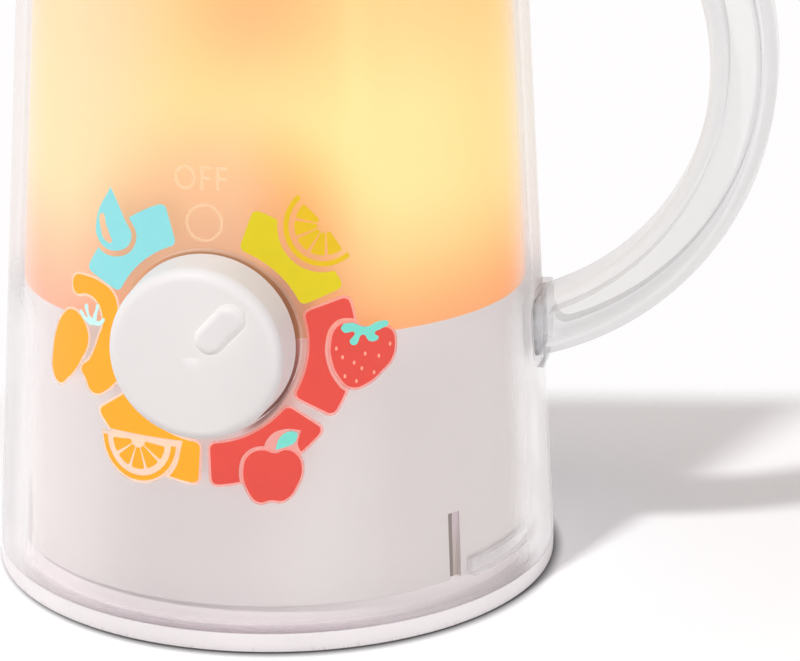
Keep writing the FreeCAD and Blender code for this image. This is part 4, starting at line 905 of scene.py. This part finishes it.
# %% Fields: part of a flat ring
def segment_sheet(low, high, start, end, steps=10, middle=(0.0, 0.0)):
    """Part of a flat ring; angles in degrees clockwise from the top."""
    flat = bmesh.new()
    first = math.radians(start)
    way = Vector((math.sin(first), math.cos(first), 0))
    ends = [flat.verts.new(way * low), flat.verts.new(way * high)]
    edge = flat.edges.new(ends)
    bmesh.ops.spin(
        flat, geom=[*ends, edge], cent=(0, 0, 0), axis=(0, 0, -1), dvec=(0, 0, 0),
        angle=math.radians(end - start), steps=steps, use_merge=end - start >= 360.0, use_duplicate=False,
    )
    bmesh.ops.translate(flat, verts=flat.verts, vec=(*middle, 0))
    return flat


def rounded_corners(flat, radius):
    """Rounds the corners of a flat sheet."""
    corners = [v for v in flat.verts if len(v.link_edges) == 2]
    bmesh.ops.bevel(
        flat, geom=corners, affect="VERTICES", offset=radius, offset_type="OFFSET", segments=3, profile=0.5,
        material=-1,
    )


trial = segment_sheet(1.0, 2.0, 0.0, 90.0)
print("a quarter ring has", len(trial.faces), "faces")
trial.free()

# %% [markdown]
# A fruit's outline is a Bezier curve, which Blender fills by itself and can also grow by an even distance.
# That is how a gap or a halo round a fruit is made. A lemon or an orange is drawn as half a slice.

# %% Fruits: closed outlines
def sheet_of(drawn):
    """The filled mesh of a flat curve."""
    holder = bpy.data.objects.new("outline", drawn)
    bpy.context.scene.collection.objects.link(holder)
    bpy.context.view_layer.update()
    made = bpy.data.meshes.new_from_object(holder.evaluated_get(bpy.context.evaluated_depsgraph_get()))
    flat = bmesh.new()
    flat.from_mesh(made)
    bpy.data.objects.remove(holder)
    bpy.data.curves.remove(drawn)
    bpy.data.meshes.remove(made)
    bmesh.ops.remove_doubles(flat, verts=flat.verts, dist=1e-4)
    return flat


def outline_sheet(points, grow=0.0):
    """A closed Bezier outline, filled. A third value of 1 makes a point a sharp corner."""
    drawn = bpy.data.curves.new("outline", "CURVE")
    drawn.dimensions = "2D"
    drawn.fill_mode = "BOTH"
    drawn.offset = grow
    drawn.resolution_u = 6
    line = drawn.splines.new("BEZIER")
    line.bezier_points.add(len(points) - 1)
    line.use_cyclic_u = True
    for spot, point in zip(line.bezier_points, points):
        spot.co = (point[0], point[1], 0)
        kind = "VECTOR" if len(point) > 2 else "AUTO"
        spot.handle_left_type = spot.handle_right_type = kind
    return sheet_of(drawn)


def half_disc(middle, radius, start):
    """Outline of a half disc; its arc runs clockwise from the start angle."""
    points = []
    for step in range(7):
        angle = math.radians(start + 30.0 * step)
        spot = (middle[0] + radius * math.sin(angle), middle[1] + radius * math.cos(angle))
        points.append((*spot, 1) if step in (0, 6) else spot)
    return points


print("half a slice is drawn with", len(half_disc((0.0, 0.0), 1.0, 0.0)), "points")

# %% [markdown]
# ### From flat sheets to ink
# A sheet becomes a slab by extruding it. A gap is cut by a Boolean, with a taller slab of the fruit's grown
# outline as the tool. An inner layer lies lower than an outer one, so that no two prints share a surface.

# %% Slabs and cuts
INK = 0.035 * MM
LAYER = 0.05 * MM


def thickened(flat, thick=1.0):
    """A flat sheet as a slab from 0 to thick, closed all round."""
    bmesh.ops.recalc_face_normals(flat, faces=flat.faces)
    if sum(f.normal.z for f in flat.faces) < 0:
        bmesh.ops.reverse_faces(flat, faces=flat.faces)
    grown = bmesh.ops.extrude_face_region(flat, geom=flat.faces[:])
    top = [g for g in grown["geom"] if isinstance(g, bmesh.types.BMVert)]
    bmesh.ops.translate(flat, verts=top, vec=(0, 0, thick))
    bmesh.ops.recalc_face_normals(flat, faces=flat.faces)
    return flat


def holder_of(name, solid):
    """A new object that takes over the mesh."""
    mesh = bpy.data.meshes.new(name)
    solid.to_mesh(mesh)
    solid.free()
    made = bpy.data.objects.new(name, mesh)
    bpy.context.scene.collection.objects.link(made)
    return made


def cut_out(flat, *cutters):
    """The flat sheet as a slab, less the slabs of the cutters."""
    body = holder_of("slab", thickened(flat))
    tools = []
    for number, cutter in enumerate(cutters):
        slab = thickened(cutter, 3.0)
        bmesh.ops.translate(slab, verts=slab.verts, vec=(0, 0, -1))
        tool = holder_of("cutter", slab)
        cut = body.modifiers.new(f"cut {number}", "BOOLEAN")
        cut.operation = "DIFFERENCE"
        cut.solver = "EXACT"
        cut.object = tool
        tools.append(tool)
    bpy.context.view_layer.update()
    made = bpy.data.meshes.new_from_object(body.evaluated_get(bpy.context.evaluated_depsgraph_get()))
    result = bmesh.new()
    result.from_mesh(made)
    for spent in (*tools, body):
        bpy.data.objects.remove(spent)
    bpy.data.meshes.remove(made)
    return result


print("ink", round(INK / MM, 3), "mm thick, layers", round(LAYER / MM, 3), "mm apart")

# %% [markdown]
# ### Round the shell
# The slabs are cut into upright strips a millimetre wide and bent round the clear shell, so that they follow
# its cone without a gap. In so soft a light the prints throw no shadow that would show on the drum behind
# them, so each print is told to cast none.

# %% Bend a print round the shell
def on_shell(name, slabs, finish, layer=1, strip=1.0):
    """Bends slabs of ink round the clear shell, joins them, and makes them one piece on the jug."""
    joined = bmesh.new()
    for slab in slabs:
        part = bpy.data.meshes.new("part")
        slab.to_mesh(part)
        slab.free()
        joined.from_mesh(part)
        bpy.data.meshes.remove(part)
    bmesh.ops.triangulate(joined, faces=joined.faces[:])
    across = [v.co.x for v in joined.verts]
    for number in range(math.floor(min(across) / strip), math.ceil(max(across) / strip) + 1):
        everything = joined.verts[:] + joined.edges[:] + joined.faces[:]
        bmesh.ops.bisect_plane(
            joined, geom=everything, dist=1e-5, plane_co=(number * strip, 0, 0), plane_no=(1, 0, 0),
        )
    for vert in joined.verts:
        side, up, out = vert.co
        z = dial_height + up * MM
        angle = side * MM / shell_radius(z)
        radius = shell_radius(z) + LAYER * layer - INK * (1 - min(out, 1.0))
        vert.co = (radius * math.sin(angle), -radius * math.cos(angle), z)
    bmesh.ops.triangulate(joined, faces=joined.faces[:])
    piece = holder_of(name, joined)
    finish.dress(piece)
    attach(piece, "jug")
    piece.visible_shadow = False
    print(name, len(piece.data.polygons), "faces")
    return piece


# %% [markdown]
# ### Ink
# Screen printed ink is opaque and smoother than the plastic below it, with tiny pinholes from the mesh that
# it is pressed through. One function gives each colour its slight mottle and that weave.

# %% Ink finishes
def ink(name, colour, drift=0.05):
    """A printed colour, with a slow mottle and the fine weave of the screen."""
    made = Finish(name, {"IOR": 1.5})
    mottle = made.noise(0.3, 3.0, 0.6)
    weave = made.noise(7.0, 1.0, 0.5)
    made.shade("Base Color", made.blend(mottle, scaled(colour, 1 - drift), scaled(colour, 1 + drift)))
    made.shade("Roughness", 0.3 + 0.12 * weave)
    made.relief(weave, 0.006, 0.6)
    return made


water_ink = ink("water blue ink", paint(138, 217, 221))
lemon_ink = ink("lemon ink", paint(218, 198, 0))
lemon_flesh = ink("lemon flesh ink", paint(226, 184, 0))
red_ink = ink("red ink", paint(221, 70, 58))
orange_ink = ink("orange ink", paint(247, 167, 20))
leaf_ink = ink("leaf ink", paint(116, 214, 198))
sprig_ink = ink("sprig ink", paint(196, 238, 236))
pale_ink = ink("pale ink", paint(246, 160, 140))
print("inks so far:", sum(" ink" in material.name for material in bpy.data.materials))

# %% [markdown]
# A thin undercoat stands out past some prints as a halo. It is half clear, peach on the left and pink on the
# right, and it is darker where the dial's shade falls on it.

# %% The halo's ink
halo_ink = ink("halo ink", paint(250, 206, 198))
peach = halo_ink.blend(halo_ink.rise(halo_ink.x, -4.0, 2.0), paint(250, 218, 192), paint(240, 160, 150))
near_dial = halo_ink.fall(halo_ink.from_dial(), 1.7, 3.5) * halo_ink.rise(halo_ink.x, 0.0, 8.0)
patchy = halo_ink.noise(0.3)
halo_ink.shade("Base Color", peach * (0.97 + 0.06 * patchy) * (1 - near_dial * (0.12, 0.30, 0.34)))
halo_ink.shade("Alpha", 0.5 + 0.1 * patchy)
print("halo nodes", len(halo_ink.tree.nodes))

# %% [markdown]
# ### The fruits
# Each outline is drawn with few points. The numbers are millimetres to the right of the dial's axis
# and above it.

# %% The drop, the strawberry and the apple
drop = [(-19.1, 27.1, 1), (-16.2, 21.8), (-14.6, 18.0), (-18.2, 15.4), (-22.1, 17.0), (-22.5, 20.8)]
drop_shine = [(-21.2, 22.0), (-20.2, 19.9), (-19.3, 18.0), (-18.9, 17.0), (-20.3, 16.9), (-21.5, 18.9)]
berry = [
    (24.3, 3.2), (23.0, -0.2), (23.3, -3.1), (24.5, -6.0), (27.0, -8.4), (30.2, -7.8), (32.9, -5.8),
    (34.8, -3.8), (35.4, -1.1), (34.7, 1.5), (32.4, 2.3), (29.6, 2.3), (26.6, 3.5),
]
berry_leaf = [
    (24.9, 3.1), (26.5, 3.7), (29.6, 2.7), (32.3, 3.5), (34.0, 3.0), (32.5, 2.0), (31.3, 1.4), (32.1, 0.4),
    (30.5, -0.1), (28.9, 1.3), (27.6, -0.5), (26.5, 0.1), (27.4, 1.8), (25.4, 2.0),
]
berry_seeds = [
    (24.0, -0.9), (25.2, -2.6), (27.4, -3.8), (29.5, -2.3), (32.2, -3.0), (34.4, -1.0), (28.9, -5.0),
    (25.7, -6.2), (31.3, -6.0), (27.9, -7.3),
]
apple = [
    (7.2, -23.0), (8.3, -20.5), (10.7, -19.6), (13.0, -20.2), (15.0, -19.6), (17.0, -20.6), (17.9, -23.0),
    (17.2, -26.0), (14.8, -29.1), (12.2, -29.1), (10.1, -29.5), (8.2, -27.6),
]
apple_leaf = [(13.0, -19.5, 1), (13.9, -17.1), (15.9, -16.0), (17.1, -16.4, 1), (16.6, -18.1), (15.1, -18.9)]
apple_leaf_gap = [
    (11.2, -19.8), (12.0, -16.9), (14.8, -15.6), (17.7, -15.9, 1), (17.1, -18.5), (17.6, -20.6),
    (14.0, -20.8),
]
print("points:", sum(len(line) for line in (drop, drop_shine, berry, berry_leaf, apple, apple_leaf)))

# %% The mango and the places of the slices
mango = [
    (-29.6, 2.5), (-27.1, 1.9), (-25.1, -0.8), (-25.1, -3.4), (-26.7, -6.3), (-28.4, -8.7), (-30.6, -10.8),
    (-33.2, -12.3), (-35.1, -10.6), (-35.1, -6.6), (-33.8, -2.0), (-32.0, 0.9),
]
mango_field = [
    (-28.9, 7.8), (-28.0, 9.3), (-25.6, 9.6), (-21.6, 9.0), (-18.6, 7.2), (-17.6, 4.0, 1), (-17.6, -8.6, 1),
    (-20.8, -11.4), (-22.9, -12.3), (-24.4, -11.9), (-25.6, -9.9), (-26.7, -8.2), (-24.6, -6.1),
    (-23.0, -3.3), (-22.2, -1.3), (-21.2, 1.0), (-21.4, 3.4), (-22.6, 5.3), (-25.0, 6.3), (-28.2, 6.0),
]
mango_sprig = [
    [(-27.0, 2.9), (-25.2, 1.8), (-23.5, 1.4), (-23.5, 0.7), (-25.0, 0.8), (-26.6, 2.0)],
    [(-25.3, 4.4), (-24.5, 2.4), (-23.3, 1.3), (-24.0, 1.0), (-25.1, 2.2)],
    [(-22.3, 4.8), (-22.5, 3.0), (-23.2, 1.3), (-23.6, 1.8), (-23.0, 3.5)],
    [(-20.8, 2.3), (-21.9, 1.7), (-23.4, 0.9), (-22.2, 0.7), (-21.2, 1.3)],
]
LEMON_SPOT, LEMON_START, LEMON_RIND = (21.7, 22.0), 140.0, 7.6
ORANGE_SPOT, ORANGE_START, ORANGE_RIND = (-13.4, -19.5), 91.0, 7.8
print("points:", sum(len(line) for line in (mango, mango_field, *mango_sprig)))

# %% [markdown]
# ### The fields
# Five fields are pieces of one ring, nearly equal, and the mango's has an outline of its own. A clear gap of
# about a millimetre keeps each fruit apart from its field.

# %% Fields and half slices
FIELD_LOW, FIELD_HIGH, FIELD_CORNER = 18.7, 26.5, 1.1
RIND_WIDTH, SLICE_TRIM = 0.95, 2.0
FLESH_IN, FLESH_OUT = 1.5, 5.6
WEDGES, WEDGE_TRIM, WEDGE_CORNER = 5, 3.2, 0.35
FIELDS = {
    "water": (294.7, 343.2), "lemon": (19.2, 66.8), "strawberry": (71.0, 120.3), "apple": (126.8, 177.2),
    "orange": (182.8, 235.2),
}


def field(name, grow=0.0):
    """One coloured field of the ring, grown if it is to be a halo. A soft pad presses the fields on from the
    front, so their width is laid out along the round wall."""
    start, end = FIELDS[name]
    turn_more = math.degrees(grow / (FIELD_LOW + FIELD_HIGH) * 2)
    flat = segment_sheet(FIELD_LOW - grow, FIELD_HIGH + grow, start - turn_more, end + turn_more, 14)
    rounded_corners(flat, FIELD_CORNER + grow)
    wall = shell_radius(dial_height) / MM
    for vert in flat.verts:
        vert.co.x = wall * math.asin(vert.co.x / wall)
    return flat


def slice_parts(middle, start, rind):
    """The rind and the wedges of a half slice; the two trims are in degrees."""
    first = start + SLICE_TRIM
    last = start + 180.0 - SLICE_TRIM
    parts = [segment_sheet(rind - RIND_WIDTH, rind, first, last, 16, middle)]
    step = (last - first) / WEDGES
    for number in range(WEDGES):
        low = first + number * step
        wedge = segment_sheet(FLESH_IN, FLESH_OUT, low + WEDGE_TRIM, low + step - WEDGE_TRIM, 4, middle)
        rounded_corners(wedge, WEDGE_CORNER)
        parts.append(wedge)
    return [thickened(part) for part in parts]


def printed(outline):
    return thickened(outline_sheet(outline))


print("fields of the ring:", ", ".join(FIELDS))

# %% Print the fields and the fruits
GAP = 1.05
on_shell("print_water", [
    cut_out(field("water"), outline_sheet(drop, GAP)),
    cut_out(outline_sheet(drop), outline_sheet(drop_shine)),
], water_ink)
on_shell("print_lemon_field", [
    cut_out(field("lemon"), outline_sheet(half_disc(LEMON_SPOT, LEMON_RIND, LEMON_START), GAP)),
], lemon_ink)
on_shell("print_lemon_slice", slice_parts(LEMON_SPOT, LEMON_START, LEMON_RIND), lemon_flesh)
on_shell("print_strawberry", [
    cut_out(field("strawberry"), outline_sheet(berry, GAP)), printed(berry),
], red_ink)
on_shell("print_apple", [
    cut_out(field("apple"), outline_sheet(apple, 0.8), outline_sheet(apple_leaf_gap)), printed(apple),
], red_ink)
on_shell("print_orange", [
    cut_out(field("orange"), outline_sheet(half_disc(ORANGE_SPOT, ORANGE_RIND, ORANGE_START), GAP)),
    *slice_parts(ORANGE_SPOT, ORANGE_START, ORANGE_RIND),
], orange_ink)
on_shell("print_mango", [printed(mango_field), printed(mango)], orange_ink)

# %% [markdown]
# ### Leaves, seeds and halos
# Leaves and seeds are a second pass of ink over the first, and the halos are the undercoat below both. Each
# goes on its own layer. A seed is a small circle, squeezed to an oval.

# %% Print the leaves, the seeds and the halos
SEED_RADIUS = 0.34
HALO = 0.5


def seed(middle):
    """A flat oval seed, as a slab."""
    flat = bmesh.new()
    bmesh.ops.create_circle(flat, cap_ends=True, segments=10, radius=SEED_RADIUS)
    bmesh.ops.scale(flat, vec=(0.75, 1.15, 1), verts=flat.verts)
    bmesh.ops.translate(flat, vec=(*middle, 0), verts=flat.verts)
    return thickened(flat)


on_shell("print_leaves", [printed(outline) for outline in (berry_leaf, apple_leaf)], leaf_ink, layer=2)
on_shell("print_sprig", [printed(outline) for outline in mango_sprig], sprig_ink, layer=2)
on_shell("print_seeds", [seed(spot) for spot in berry_seeds], pale_ink, layer=2)
halos = [thickened(field(name, HALO)) for name in ("strawberry", "apple", "orange")]
halos += [thickened(outline_sheet(outline, HALO)) for outline in (
    berry, apple, mango, mango_field, half_disc(ORANGE_SPOT, ORANGE_RIND, ORANGE_START))]
on_shell("print_halos", halos, halo_ink, layer=0)

# %% [markdown]
# ### The OFF mark
# At the top of the ring the toy has the word OFF and an open circle, in a thin, nearly clear ink that only
# shows against the glow. The letters are plain strokes of one width, so flat bars and a ring make them.

# %% OFF and its circle
STROKE = 0.62
LETTERS_LOW = 28.15


def bar(low_x, low_y, high_x, high_y):
    """A flat, square-ended stroke."""
    flat = bmesh.new()
    bmesh.ops.create_grid(flat, x_segments=1, y_segments=1, size=0.5)
    bmesh.ops.scale(flat, vec=(high_x - low_x, high_y - low_y, 1), verts=flat.verts)
    bmesh.ops.translate(flat, vec=((low_x + high_x) / 2, (low_y + high_y) / 2, 0), verts=flat.verts)
    return flat


def letter_f(x, low, high, width=2.1):
    """The upright of an F and its two arms."""
    middle = (low + high) / 2
    return [
        bar(x, low, x + STROKE, high), bar(x + STROKE, high - STROKE, x + width, high),
        bar(x + STROKE, middle - STROKE / 2, x + width - 0.2, middle + STROKE / 2),
    ]


letter_o = segment_sheet(2.3 - STROKE, 2.3, 0, 360, 32)
bmesh.ops.scale(letter_o, vec=(0.87, 1, 1), verts=letter_o.verts)
bmesh.ops.translate(letter_o, vec=(-3.75, 30.35, 0), verts=letter_o.verts)
circle_mark = segment_sheet(2.95, 3.5, 0, 360, 40, (-0.15, 22.3))
off_ink = ink("faint ink", paint(255, 222, 186))
off_ink.shade("Alpha", 0.14 + 0.1 * off_ink.noise(0.3))
on_shell("print_off", [thickened(flat) for flat in (
    letter_o, *letter_f(-0.85, LETTERS_LOW, 32.6), *letter_f(2.0, LETTERS_LOW, 32.5), circle_mark)], off_ink)
